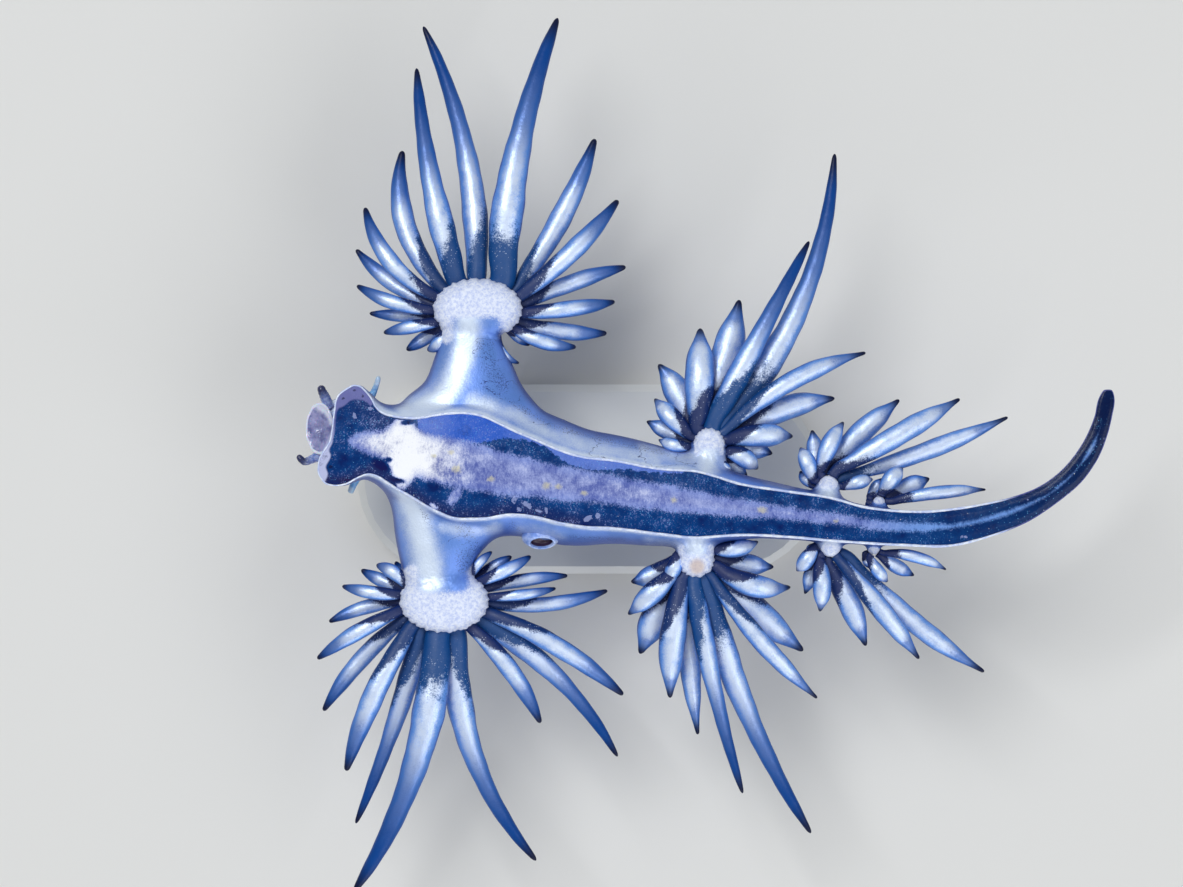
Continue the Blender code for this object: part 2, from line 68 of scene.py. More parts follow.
def smooth_curve(places: Array, values: Array, at: Array) -> Array:
    """Reads a smooth curve through knots, held level past its ends.

    Args:
        places: rising positions of the knots.
        values: one value or one row of values a knot.
        at: positions to read.

    Returns:
        One value or row for each position.
    """
    places, values = np.asarray(places, float), np.asarray(values, float)
    at = np.clip(np.asarray(at, float), places[0], places[-1])
    slopes = np.gradient(values, places, axis=0)
    i = np.clip(np.searchsorted(places, at, side="right") - 1, 0, len(places) - 2)
    span = places[i + 1] - places[i]
    t = (at - places[i]) / span
    if values.ndim > 1:
        span, t = span[..., None], t[..., None]
    rise = t * (1 - t) ** 2 * span * slopes[i]
    fall = t * t * (1 - t) * span * slopes[i + 1]
    blend = t * t * (3 - 2 * t)
    return values[i] * (1 - blend) + values[i + 1] * blend + rise - fall


def step(low: float, high: float, at: Array) -> Array:
    """Smooth step from 0 at low to 1 at high.

    Args:
        low: position of 0.
        high: position of 1, which may be under low.
        at: positions to read.

    Returns:
        Shares between 0 and 1.
    """
    t = np.clip((at - low) / (high - low), 0, 1)
    return t * t * (3 - 2 * t)


def unit(vectors: Array) -> Array:
    """Vectors scaled to length 1 along the last axis."""
    return vectors / np.maximum(np.linalg.norm(vectors, axis=-1, keepdims=True), 1e-9)


def round_angles(count: int) -> Array:
    """Angles spaced evenly round a full turn."""
    return np.linspace(0, 2 * math.pi, count, endpoint=False)


def across_and_up(heading: Array) -> tuple[Array, Array]:
    """Directions square to a path.

    Args:
        heading: unit vectors along the path.

    Returns:
        Level vectors across the path, and vectors square to both.
    """
    across = unit(np.cross(np.array([0.0, 0.0, 1.0]), heading))
    return across, np.cross(heading, across)


def below_sole(points: Point3 | list[Point3]) -> Array:
    """Points whose third value counts from the sole, as places in the shared frame."""
    return np.asarray(points, float) + np.array([0.0, 0.0, SOLE_Z])


def read_table(table: list[tuple[float, ...]], at: Array) -> Array:
    """Reads a smooth curve from rows of a place and one or more values.

    Args:
        table: the rows, by rising place.
        at: positions to read.

    Returns:
        One value or row for each position.
    """
    rows = np.asarray(table, float)
    values = rows[:, 1] if rows.shape[1] == 2 else rows[:, 1:]
    return smooth_curve(rows[:, 0], values, at)


def fine_profile(profile: list[Point2], count: int) -> Array:
    """A profile of knots read smoothly at a number of points."""
    return smooth_curve(np.arange(len(profile)), np.array(profile), np.linspace(0, len(profile) - 1, count))


def distance_to_line(points: Array, line: list[Point2]) -> Array:
    """Distance in plan from points to a bent line.

    Args:
        points: rows that start with x and y.
        line: corners of the line.

    Returns:
        The least distance of each point.
    """
    nearest = np.full(len(points), np.inf)
    for start, end in zip(line, line[1:]):
        start, run = np.array(start), np.subtract(end, start)
        t = np.clip(((points[:, :2] - start) @ run) / (run @ run), 0, 1)
        gap = points[:, :2] - start - t[:, None] * run
        nearest = np.minimum(nearest, np.linalg.norm(gap, axis=1))
    return nearest


@dataclass
class Shape:
    """Vertices in millimetres, faces, and named values on the vertices."""

    verts: Array
    faces: list[tuple[int, ...]]
    marks: dict[str, Array] = field(default_factory=dict)


def join_shapes(shapes: list[Shape]) -> Shape:
    """All shapes of a list as one.

    Args:
        shapes: shapes with the same marks.

    Returns:
        The joined shape.
    """
    counts = np.concatenate([[0], np.cumsum([len(s.verts) for s in shapes])])
    faces = [tuple(k + int(shift) for k in face) for s, shift in zip(shapes, counts) for face in s.faces]
    marks = {name: np.concatenate([s.marks[name] for s in shapes]) for name in shapes[0].marks}
    return Shape(np.concatenate([s.verts for s in shapes]), faces, marks)


def loft(rings: Array, marks: dict[str, Array] | None = None) -> Shape:
    """A closed skin over rings, with a point at the middle of each end.

    Args:
        rings: array of rings by points by 3.
        marks: values on the ring points, as arrays of rings by points.

    Returns:
        The closed shape.
    """
    count, sides = rings.shape[:2]
    ends = np.stack([rings[0].mean(axis=0), rings[-1].mean(axis=0)])
    verts = np.concatenate([rings.reshape(-1, 3), ends])
    faces = []
    for r in range(count - 1):
        for k in range(sides):
            a, b = r * sides + k, r * sides + (k + 1) % sides
            faces.append((a, b, b + sides, a + sides))
    first, last = count * sides, count * sides + 1
    for k in range(sides):
        after = (k + 1) % sides
        faces.append((after, k, first))
        faces.append(((count - 1) * sides + k, (count - 1) * sides + after, last))
    made = {}
    for name, values in (marks or {}).items():
        tips = [values[0].mean(), values[-1].mean()]
        made[name] = np.concatenate([values.reshape(-1), tips])
    return Shape(verts, faces, made)


def tube(path: Array, radii: Array, sides: int, closed: bool = False) -> Shape:
    """A round tube along a path.

    Args:
        path: points of the middle line.
        radii: radius at each point.
        sides: points round the tube.
        closed: true if the path is a loop.

    Returns:
        The closed shape.
    """
    if closed:
        heading = unit(np.roll(path, -1, axis=0) - np.roll(path, 1, axis=0))
    else:
        heading = unit(np.gradient(path, axis=0))
    across, up = across_and_up(heading)
    angles = round_angles(sides)
    spread = across[:, None] * np.cos(angles)[None, :, None] + up[:, None] * np.sin(angles)[None, :, None]
    rings = path[:, None] + spread * radii[:, None, None]
    if not closed:
        return loft(rings)
    count = len(path)
    faces = []
    for r in range(count):
        for k in range(sides):
            after = (k + 1) % sides
            ahead = (r + 1) % count
            faces.append((r * sides + k, r * sides + after, ahead * sides + after, ahead * sides + k))
    return Shape(rings.reshape(-1, 3), faces)


def make_object(name: str, shape: Shape, material: bpy.types.Material) -> bpy.types.Object:
    """A smooth piece of the model that rides on the root body.

    Args:
        name: the piece's name.
        shape: its shape in millimetres.
        material: its finish.

    Returns:
        The new object.
    """
    mesh = bpy.data.meshes.new(name)
    mesh.from_pydata((shape.verts * MM).tolist(), [], shape.faces)
    for mark, values in shape.marks.items():
        layer = mesh.attributes.new(mark, "FLOAT", "POINT")
        layer.data.foreach_set("value", values.astype(np.float32))
    mesh.shade_smooth()
    mesh.materials.append(material)
    made = bpy.data.objects.new(name, mesh)
    bpy.context.scene.collection.objects.link(made)
    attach(made, "root")
    LOG.info("%s: %d faces", name, len(shape.faces))
    return made


# ---- Materials


def colour(tint: Tint) -> tuple[float, float, float, float]:
    """Linear colour of a tint given as red, green and blue from 0 to 255."""
    parts = [c / 255 for c in tint]
    return (*[c / 12.92 if c <= 0.04045 else ((c + 0.055) / 1.055) ** 2.4 for c in parts], 1.0)


class Wiring:
    """Adds nodes to one tree and links them, so that a finish reads as a list of steps."""

    def __init__(self, tree: bpy.types.NodeTree) -> None:
        """Keeps the tree.

        Args:
            tree: the node tree to add to.
        """
        self.tree = tree

    def node(self, kind: str, inputs: dict | None = None, **settings: object) -> bpy.types.Node:
        """Adds a node.

        Args:
            kind: the node's type name.
            inputs: sockets or constants for its inputs, by name or place.
            **settings: properties of the node.

        Returns:
            The node.
        """
        made = self.tree.nodes.new(kind)
        for key, value in settings.items():
            setattr(made, key, value)
        for key, value in (inputs or {}).items():
            self.feed(made.inputs[key], value)
        return made

    def feed(self, socket: Socket, value: object) -> None:
        """Links a socket to an input, or sets the input's constant.

        Args:
            socket: the input.
            value: an output socket or a constant.
        """
        if isinstance(value, bpy.types.NodeSocket):
            self.tree.links.new(value, socket)
        else:
            socket.default_value = value

    def math(self, operation: str, a: Value, b: Value = 0.0, clamp: bool = False) -> Socket:
        """Result of a Math node.

        Args:
            operation: its operation.
            a: first value.
            b: second value.
            clamp: keep the result between 0 and 1.

        Returns:
            The output.
        """
        return self.node("ShaderNodeMath", {0: a, 1: b}, operation=operation, use_clamp=clamp).outputs[0]

    def times(self, a: Value, b: Value) -> Socket:
        """Product of two values."""
        return self.math("MULTIPLY", a, b)

    def plus(self, a: Value, b: Value) -> Socket:
        """Sum of two values."""
        return self.math("ADD", a, b)

    def minus(self, a: Value, b: Value) -> Socket:
        """First value less the second."""
        return self.math("SUBTRACT", a, b)

    def ramp(self, value: Value, low: Value, high: Value, start: Value = 0.0, end: Value = 1.0) -> Socket:
        """Smooth change from start to end as a value goes from low to high.

        Args:
            value: the value.
            low: where the change starts.
            high: where it ends.
            start: result at low.
            end: result at high.

        Returns:
            The output.
        """
        ends = {"Value": value, "From Min": low, "From Max": high, "To Min": start, "To Max": end}
        return self.node("ShaderNodeMapRange", ends, interpolation_type="SMOOTHSTEP").outputs[0]

    def mix(self, share: Value, a: Socket | tuple, b: Socket | tuple) -> Socket:
        """Mixes two colours.

        Args:
            share: part of the second colour.
            a: first colour.
            b: second colour.

        Returns:
            The mixed colour.
        """
        made = self.node("ShaderNodeMix", {"Factor": share}, data_type="RGBA")
        self.feed(made.inputs[6], a)
        self.feed(made.inputs[7], b)
        return made.outputs[2]

    def mark(self, name: str) -> Socket:
        """Output of a named value on the mesh."""
        return self.node("ShaderNodeAttribute", attribute_name=name).outputs["Fac"]

    def place(self) -> Socket:
        """Position on the piece in millimetres."""
        spot = self.node("ShaderNodeTexCoord").outputs["Object"]
        return self.node("ShaderNodeVectorMath", {0: spot, "Scale": 1 / MM}, operation="SCALE").outputs[0]

    def noise(self, vector: Socket, size: Value, detail: float = 3.0, rough: float = 0.5) -> Socket:
        """Soft noise.

        Args:
            vector: position in millimetres.
            size: size of its blobs in millimetres.
            detail: octaves.
            rough: share of the finer octaves.

        Returns:
            Values about 0.5.
        """
        scale = 1 / size if isinstance(size, float) else self.math("DIVIDE", 1.0, size)
        inputs = {"Vector": vector, "Scale": scale, "Detail": detail, "Roughness": rough}
        return self.node("ShaderNodeTexNoise", inputs).outputs["Fac"]

    def sway(self, vector: Socket, size: float, detail: float, rough: float) -> Socket:
        """Soft noise about 0, from the same values as noise()."""
        return self.minus(self.noise(vector, size, detail, rough), 0.5)

    def group(self, made: bpy.types.NodeTree, inputs: dict) -> bpy.types.Node:
        """Places a shared node group.

        Args:
            made: the group.
            inputs: sockets or constants for its inputs.

        Returns:
            The group node.
        """
        placed = self.tree.nodes.new("ShaderNodeGroup")
        placed.node_tree = made
        for key, value in inputs.items():
            self.feed(placed.inputs[key], value)
        return placed


def shared_group(
    name: str,
    inputs: dict[str, tuple[str, float]],
    output: str,
    build: Callable[[Wiring, bpy.types.Node], Socket],
) -> bpy.types.NodeTree:
    """A shader node group with one output, made on first use.

    Args:
        name: its name.
        inputs: type and default of each input.
        output: name of its output value.
        build: adds its nodes and gives the socket of the result.

    Returns:
        The group.
    """
    tree = bpy.data.node_groups.get(name)
    if tree:
        return tree
    tree = bpy.data.node_groups.new(name, "ShaderNodeTree")
    for key, (kind, default) in inputs.items():
        made = tree.interface.new_socket(key, in_out="INPUT", socket_type=kind)
        if kind == "NodeSocketFloat":
            made.default_value = default
    tree.interface.new_socket(output, in_out="OUTPUT", socket_type="NodeSocketFloat")
    wiring = Wiring(tree)
    given = wiring.node("NodeGroupInput")
    result = build(wiring, given)
    wiring.node("NodeGroupOutput", {output: result})
    return tree


def dots_group() -> bpy.types.NodeTree:
    """Mask of small scattered dots: their spacing, their share of a cell and how many cells have one.

    Returns:
        The group.
    """

    def build(w: Wiring, given: bpy.types.Node) -> Socket:
        """Adds the nodes.

        Args:
            w: wiring of the group.
            given: its input node.

        Returns:
            The mask.
        """
        scale = w.math("DIVIDE", 1.0, given.outputs["Spacing"])
        cells = w.node("ShaderNodeTexVoronoi", {"Vector": given.outputs["Place"], "Scale": scale})
        lucky = w.math("LESS_THAN", cells.outputs["Color"], given.outputs["Amount"])
        inner = w.times(given.outputs["Share"], 0.6)
        spot = w.ramp(cells.outputs["Distance"], given.outputs["Share"], inner)
        return w.times(spot, lucky)

    inputs = {
        "Place": ("NodeSocketVector", 0.0),
        "Spacing": ("NodeSocketFloat", 0.2),
        "Share": ("NodeSocketFloat", 0.3),
        "Amount": ("NodeSocketFloat", 0.5),
    }
    return shared_group("scattered_dots", inputs, "Mask", build)


def cracks_group() -> bpy.types.NodeTree:
    """Mask of broken hairlines between wandering cells: cell size, line width and how much is left.

    Returns:
        The group.
    """

    def build(w: Wiring, given: bpy.types.Node) -> Socket:
        """Adds the nodes.

        Args:
            w: wiring of the group.
            given: its input node.

        Returns:
            The mask.
        """
        place, size = given.outputs["Place"], given.outputs["Size"]
        wander = w.node(
            "ShaderNodeTexNoise", {"Vector": place, "Scale": 1.6, "Detail": 4.0},
        ).outputs["Color"]
        shift = w.node("ShaderNodeVectorMath", {0: wander, "Scale": 1.1}, operation="SCALE").outputs[0]
        bent = w.node("ShaderNodeVectorMath", {0: place, 1: shift}, operation="ADD").outputs[0]
        scale = w.math("DIVIDE", 1.0, size)
        inputs = {"Vector": bent, "Scale": scale}
        cells = w.node("ShaderNodeTexVoronoi", inputs, feature="DISTANCE_TO_EDGE")
        line = w.ramp(cells.outputs["Distance"], given.outputs["Width"], 0.0)
        kept = w.noise(place, 1.3, 2.0)
        low = w.minus(1.0, given.outputs["Amount"])
        high = w.plus(low, 0.06)
        return w.times(line, w.ramp(kept, low, high))

    inputs = {
        "Place": ("NodeSocketVector", 0.0),
        "Size": ("NodeSocketFloat", 3.0),
        "Width": ("NodeSocketFloat", 0.02),
        "Amount": ("NodeSocketFloat", 0.45),
    }
    return shared_group("hairline_cracks", inputs, "Mask", build)


def relief_group() -> bpy.types.NodeTree:
    """Height of live skin: fine hammered grains over slow swells.

    Returns:
        The group.
    """

    def build(w: Wiring, given: bpy.types.Node) -> Socket:
        """Adds the nodes.

        Args:
            w: wiring of the group.
            given: its input node.

        Returns:
            The height.
        """
        place = given.outputs["Place"]
        fine = w.noise(place, given.outputs["Grain"], 2.0, 0.6)
        slow = w.noise(place, given.outputs["Swell"], 2.0, 0.5)
        grains = w.times(fine, given.outputs["Grain share"])
        return w.plus(grains, slow)

    inputs = {
        "Place": ("NodeSocketVector", 0.0),
        "Grain": ("NodeSocketFloat", 0.12),
        "Swell": ("NodeSocketFloat", 0.7),
        "Grain share": ("NodeSocketFloat", 0.5),
    }
    return shared_group("skin_relief", inputs, "Height", build)


def new_material(name: str) -> tuple[bpy.types.Material, Wiring, bpy.types.Node]:
    """An empty Principled material.

    Args:
        name: its name.

    Returns:
        The material, its wiring and its shader node.
    """
    made = bpy.data.materials.new(name)
    made.use_nodes = True
    return made, Wiring(made.node_tree), made.node_tree.nodes["Principled BSDF"]


def finish_shader(w: Wiring, shader: bpy.types.Node, values: dict, height: Socket, strength: float) -> None:
    """Sets a shader's inputs and its bump.

    Args:
        w: wiring of the material.
        shader: the Principled node.
        values: sockets or constants by input name.
        height: height for the bump, in parts of 0.1 mm.
        strength: strength of the bump.
    """
    for key, value in values.items():
        w.feed(shader.inputs[key], value)
    bump = w.node("ShaderNodeBump", {"Height": height, "Strength": strength, "Distance": 0.1 * MM})
    w.feed(shader.inputs["Normal"], bump.outputs[0])


@dataclass(frozen=True)
class CerataFinish:
    """Silver-blue cerata: a navy root that breaks up in grains, a pale ridge that is silver skin with a
    painted highlight over it, blue flanks darkened partly by painted shade, a dark tip.
    """

    # Ridge tint: pale silver of the upper side, partly a painted highlight where light falls from above
    ridge: Tint = (222, 234, 255)
    middle: Tint = (108, 162, 242)
    # Flank tint: blue of the sides, darker there partly as painted shade
    flank: Tint = (10, 62, 156)
    under: Tint = (104, 138, 206)
    root: Tint = (2, 22, 84)
    teal: Tint = (0, 66, 128)
    outer: Tint = (26, 96, 184)
    tip: Tint = (6, 66, 140)
    point: Tint = (12, 20, 54)
    metallic: float = 0.30
    roughness: float = 0.36
    specular: float = 0.2
    coat: float = 0.14
    coat_roughness: float = 0.18

    def material(self) -> bpy.types.Material:
        """Builds the material.

        Returns:
            The material.
        """
        made, w, shader = new_material("cerata_skin")
        place = w.place()
        along, lift = w.mark("along"), w.mark("lift")
        dark, tone = w.mark("dark_root"), w.mark("tone")
        grain = w.sway(place, 0.075, 3.0, 0.7)
        patch = w.sway(place, 0.5, 3.0, 0.6)
        shift = w.plus(w.times(grain, 0.55), w.times(patch, 0.6))

        # Pale on the upper side and dark blue on the sides, by the lift mark: partly silver and blue skin,
        # partly painted highlight and painted shade
        side = w.plus(lift, w.times(shift, 0.7))
        base = w.mix(w.ramp(side, 0.0, 0.72), colour(self.flank), colour(self.middle))
        base = w.mix(w.ramp(side, 0.60, 1.05), base, colour(self.ridge))
        base = w.mix(w.ramp(lift, -0.35, -0.85), base, colour(self.under))
        fade = w.mark("fade")
        late = w.ramp(w.plus(along, w.times(shift, 0.22)), fade, w.plus(w.times(fade, 0.6), 0.42))
        base = w.mix(w.times(late, 0.80), base, colour(self.outer))

        reach = w.plus(along, w.times(shift, 0.34))
        rooted = w.ramp(reach, w.plus(dark, 0.035), w.minus(dark, 0.05))
        rooted = w.times(rooted, w.ramp(lift, -0.6, 0.1))
        deep = w.mix(w.ramp(tone, 0.35, 0.9), colour(self.root), colour(self.teal))
        base = w.mix(w.times(rooted, 0.95), base, deep)
        glints = w.group(dots_group(), {"Place": place, "Spacing": 0.085, "Share": 0.30, "Amount": 0.35})
        sparse = w.times(glints.outputs[0], w.times(rooted, w.ramp(reach, 0.0, dark)))
        base = w.mix(w.times(sparse, 0.7), base, colour(self.ridge))

        at = w.plus(along, w.times(shift, 0.16))
        tipped = w.ramp(at, w.plus(fade, 0.12), w.plus(w.times(fade, 0.4), 0.72))
        base = w.mix(tipped, base, colour(self.tip))
        base = w.mix(w.ramp(along, 0.86, 0.99), base, colour(self.point))

        rough = w.ramp(patch, -0.2, 0.2, self.roughness - 0.05, self.roughness + 0.08)
        plain = w.minus(1.0, w.math("MAXIMUM", rooted, tipped))
        relief = w.group(relief_group(), {"Place": place, "Grain": 0.09, "Swell": 0.6, "Grain share": 0.42})
        values = {
            "Base Color": base,
            "Roughness": rough,
            "Metallic": w.times(plain, self.metallic),
            "Specular IOR Level": self.specular,
            "Coat Weight": w.times(plain, self.coat),
            "Coat Roughness": self.coat_roughness,
        }
        finish_shader(w, shader, values, relief.outputs[0], 0.34)
        return made


@dataclass(frozen=True)
class BodyFinish:
    """Silver-blue sides and arms with a soft white painted sheen of light, painted shade on the steep sides,
    dusky specks, hairline cracks and grainy pads.
    """

    side: Tint = (108, 148, 230)
    cool: Tint = (98, 140, 216)
    # Painted highlight: the white sheen where light falls on the skin
    sheen: Tint = (226, 238, 255)
    # Painted shade: darker blue on the steep sides of the skin
    shade: Tint = (38, 74, 158)
    dusk: Tint = (26, 44, 112)
    back: Tint = (150, 166, 205)
    pad: Tint = (236, 241, 255)
    pad_shade: Tint = (192, 204, 242)
    tan: Tint = (206, 178, 158)
    metallic: float = 0.30
    roughness: float = 0.42

    def material(self) -> bpy.types.Material:
        """Builds the material.

        Returns:
            The material.
        """
        made, w, shader = new_material("body_skin")
        place = w.place()
        sheen, dusk, pad, back = w.mark("sheen"), w.mark("dusk"), w.mark("pad"), w.mark("back")
        patch = w.sway(place, 1.1, 4.0, 0.6)
        grain = w.sway(place, 0.07, 3.0, 0.7)
        shift = w.plus(w.times(patch, 0.8), w.times(grain, 0.55))

        base = w.mix(w.ramp(w.noise(place, 1.6, 3.0), 0.4, 0.6), colour(self.side), colour(self.cool))
        # Painted shade on the surfaces that turn away from the top
        steep = w.plus(w.mark("shade"), w.times(shift, 0.5))
        base = w.mix(w.ramp(steep, 0.1, 0.95), base, colour(self.shade))
        # Painted sheen: the skin is whitened along the given lines as a painted highlight
        lit = w.plus(sheen, w.times(shift, w.ramp(sheen, 0.0, 0.3, 0.15, 0.8)))
        base = w.mix(w.ramp(lit, 0.05, 0.95), base, colour(self.sheen))
        base = w.mix(w.ramp(back, 0.2, 0.8), base, colour(self.back))

        ragged = w.noise(place, 0.07, 3.0, 0.75)
        few = w.ramp(w.plus(dusk, w.times(patch, 1.5)), 0.0, 1.1, 0.80, 0.50)
        specks = w.ramp(ragged, few, w.plus(few, 0.10))
        specks = w.times(specks, w.ramp(dusk, 0.0, 0.5))
        base = w.mix(w.times(specks, 0.72), base, colour(self.dusk))
        stretch = w.node(
            "ShaderNodeVectorMath", {0: place, 1: (0.45, 1.0, 1.0)}, operation="MULTIPLY",
        ).outputs[0]
        split = w.group(cracks_group(), {
            "Place": stretch, "Size": 1.5, "Width": 0.009, "Amount": w.mark("crack"),
        })
        bare = w.math("SUBTRACT", 1.0, w.math("MAXIMUM", pad, back), clamp=True)
        cracks = w.times(split.outputs[0], bare)
        base = w.mix(w.times(cracks, 0.9), base, colour(self.dusk))

        crumbs = w.noise(place, 0.15, 3.0, 0.65)
        padded = w.ramp(w.plus(pad, w.plus(grain, w.times(patch, 0.6))), 0.15, 0.80)
        crust = w.mix(w.ramp(crumbs, 0.30, 0.65), colour(self.pad_shade), colour(self.pad))
        crust = w.mix(w.times(w.mark("tan"), 0.7), crust, colour(self.tan))
        base = w.mix(padded, base, crust)

        grains = w.group(relief_group(), {"Place": place, "Grain": 0.09, "Swell": 0.7, "Grain share": 0.5})
        crusty = w.times(w.times(crumbs, padded), 0.9)
        height = w.plus(grains.outputs[0], crusty)
        height = w.minus(height, w.times(cracks, 0.6))
        values = {
            "Base Color": base,
            "Roughness": w.ramp(padded, 0.0, 1.0, self.roughness, 0.60),
            "Metallic": w.times(w.minus(1.0, padded), self.metallic),
            "Coat Weight": 0.12,
            "Coat Roughness": 0.2,
        }
        finish_shader(w, shader, values, height, 0.34)
        return made


@dataclass(frozen=True)
class SoleFinish:
    """Wet navy sole with a grainy silver stripe, a royal-blue strip along the left edge and flecks."""

    navy: Tint = (1, 22, 86)
    teal: Tint = (0, 66, 132)
    plum: Tint = (38, 18, 62)
    royal: Tint = (48, 96, 200)
    slate: Tint = (94, 124, 208)
    lilac: Tint = (166, 176, 224)
    mauve: Tint = (84, 98, 170)
    white: Tint = (252, 252, 255)
    cyan: Tint = (104, 178, 232)
    tan: Tint = (206, 198, 156)
    veil: Tint = (112, 114, 172)
    veil_pale: Tint = (196, 200, 234)
    dark: Tint = (14, 16, 56)
    streak: Tint = (96, 150, 222)
    deep: Tint = (1, 16, 58)
    roughness: float = 0.24
    specular: float = 0.14
    coat: float = 0.05
    coat_roughness: float = 0.10

    def material(self) -> bpy.types.Material:
        """Builds the material.

        Returns:
            The material.
        """
        made, w, shader = new_material("sole_skin")
        place = w.place()
        stretched = w.node("ShaderNodeCombineXYZ", {0: w.times(w.mark("along"), 2.4), 1: w.mark("across")})
        streak = w.sway(stretched.outputs[0], 0.26, 4.0, 0.7)
        fine = w.sway(place, 0.065, 2.0, 0.7)
        patch = w.sway(place, 0.8, 3.0, 0.6)
        grain = w.plus(w.times(streak, 0.55), w.times(fine, 0.75))
        inside = w.mark("stripe")

        halo = w.ramp(w.plus(inside, w.times(patch, 1.5)), -0.60, 0.10)
        base = w.mix(w.times(halo, 0.85), colour(self.navy), colour(self.teal))
        base = w.mix(w.ramp(w.mark("along"), 24.0, 38.0, 0.0, 0.85), base, colour(self.deep))
        plum = w.times(w.mark("plum"), w.ramp(patch, -0.3, 0.2, 0.1, 0.7))
        base = w.mix(plum, base, colour(self.plum))
        jag = w.times(w.sway(place, 0.30, 4.0, 0.75), 0.55)
        blue = w.mix(w.mark("slate"), colour(self.royal), colour(self.slate))
        blue = w.mix(w.ramp(patch, 0.0, 0.3, 0.0, 0.2), blue, colour(self.mauve))
        blue = w.mix(
            w.ramp(w.plus(patch, w.times(grain, 0.9)), 0.05, -0.5, 0.0, 0.65), blue, colour(self.navy),
        )
        base = w.mix(w.ramp(w.plus(w.mark("strip"), jag), -0.02, 0.03), base, blue)

        rough = w.plus(w.times(grain, 0.75), w.times(patch, 0.40))
        rough = w.times(rough, w.ramp(inside, -0.45, 0.0, 0.2, 1.0))
        rough = w.times(rough, w.ramp(w.mark("along"), 24.0, 31.0, 1.0, 0.35))
        edge = w.plus(inside, rough)
        cloud = w.plus(w.times(streak, 0.9), w.plus(w.times(fine, 0.5), w.times(patch, 1.4)))
        silver = w.mix(w.ramp(cloud, -0.35, 0.35), colour(self.mauve), colour(self.lilac))
        bright = w.ramp(w.plus(w.mark("bright"), w.times(cloud, 0.85)), 0.30, 1.15)
        silver = w.mix(bright, silver, colour(self.white))
        wash = w.times(w.ramp(edge, 0.65, 0.10), w.ramp(patch, -0.2, 0.2, 0.1, 0.5))
        silver = w.mix(wash, silver, colour(self.slate))
        ochre = w.plus(w.mark("ochre"), w.plus(fine, w.times(streak, 1.2)))
        silver = w.mix(w.ramp(ochre, 0.25, 1.2, 0.0, 0.72), silver, colour(self.tan))
        silver = w.mix(w.ramp(w.mark("along"), 24.0, 28.0, 0.0, 0.7), silver, colour(self.streak))
        striped = w.ramp(edge, -0.08, 0.16)
        base = w.mix(striped, base, silver)

        flecks = w.group(dots_group(), {
            "Place": place, "Spacing": 0.085, "Share": 0.32, "Amount": 0.28,
        }).outputs[0]
        near = w.plus(inside, w.times(patch, 0.5))
        fringe = w.times(w.ramp(near, -0.34, 0.02), w.ramp(near, 0.30, 0.05))
        fringe = w.times(fringe, w.ramp(patch, -0.22, 0.12))
        base = w.mix(w.times(w.times(flecks, fringe), 0.75), base, colour(self.cyan))
        glitter = w.group(dots_group(), {
            "Place": place, "Spacing": 0.14, "Share": 0.20, "Amount": 0.12,
        }).outputs[0]
        base = w.mix(w.times(w.times(glitter, fringe), 0.8), base, colour(self.white))
        snow = w.group(dots_group(), {
            "Place": place, "Spacing": 0.10, "Share": 0.26, "Amount": w.mark("snow"),
        })
        base = w.mix(w.times(snow.outputs[0], 0.6), base, colour(self.cyan))
        chips = w.node("ShaderNodeTexVoronoi", {"Vector": place, "Scale": 10.0}).outputs["Color"]
        chips = w.times(w.minus(chips, 0.5), 1.1)
        flake = w.ramp(w.plus(w.mark("flake"), w.plus(chips, w.times(jag, 1.5))), 0.50, 0.58)
        base = w.mix(w.times(flake, 0.56), base, colour(self.lilac))

        veiled = w.ramp(w.plus(w.mark("veil"), w.times(jag, 0.18)), -0.05, 0.06)
        glassy = w.mix(w.mark("pale"), colour(self.veil), colour(self.veil_pale))
        glassy = w.mix(w.ramp(cloud, -0.25, -0.5, 0.0, 0.5), glassy, colour(self.navy))
        base = w.mix(w.times(veiled, 0.9), base, glassy)
        spot = w.ramp(w.plus(w.mark("spot"), w.times(jag, 1.3)), 0.35, 0.75)
        base = w.mix(w.times(spot, 0.7), base, colour(self.dark))

        relief = w.group(relief_group(), {"Place": place, "Grain": 0.09, "Swell": 0.6, "Grain share": 0.30})
        height = w.plus(relief.outputs[0], w.times(striped, 0.5))
        values = {
            "Base Color": base,
            "Roughness": w.ramp(striped, 0.0, 1.0, self.roughness, 0.42),
            "Specular IOR Level": self.specular,
            "Coat Weight": self.coat,
            "Coat Roughness": self.coat_roughness,
        }
        finish_shader(w, shader, values, height, 0.30)
        return made


@dataclass(frozen=True)
class PlainFinish:
    """A mottled skin of two tints with a third towards a named end."""

    name: str
    light: Tint
    dark: Tint
    end: Tint
    size: float = 0.3
    metallic: float = 0.0
    roughness: float = 0.3
    subsurface: float = 0.0

    def material(self) -> bpy.types.Material:
        """Builds the material for a mesh that carries the value named end.

        Returns:
            The material.
        """
        made, w, shader = new_material(self.name)
        place = w.place()
        patch = w.noise(place, self.size, 4.0, 0.6)
        base = w.mix(w.ramp(patch, 0.35, 0.65), colour(self.dark), colour(self.light))
        at = w.plus(w.mark("end"), w.times(w.minus(patch, 0.5), 0.5))
        base = w.mix(w.ramp(at, 0.3, 0.8), base, colour(self.end))
        relief = w.group(relief_group(), {"Place": place, "Grain": 0.08, "Swell": 0.35, "Grain share": 0.4})
        values = {
            "Base Color": base,
            "Roughness": self.roughness,
            "Metallic": self.metallic,
            "Subsurface Weight": self.subsurface,
            "Subsurface Scale": 0.3 * MM,
            "Coat Weight": 0.4,
            "Coat Roughness": 0.1,
        }
        finish_shader(w, shader, values, relief.outputs[0], 0.3)
        return made


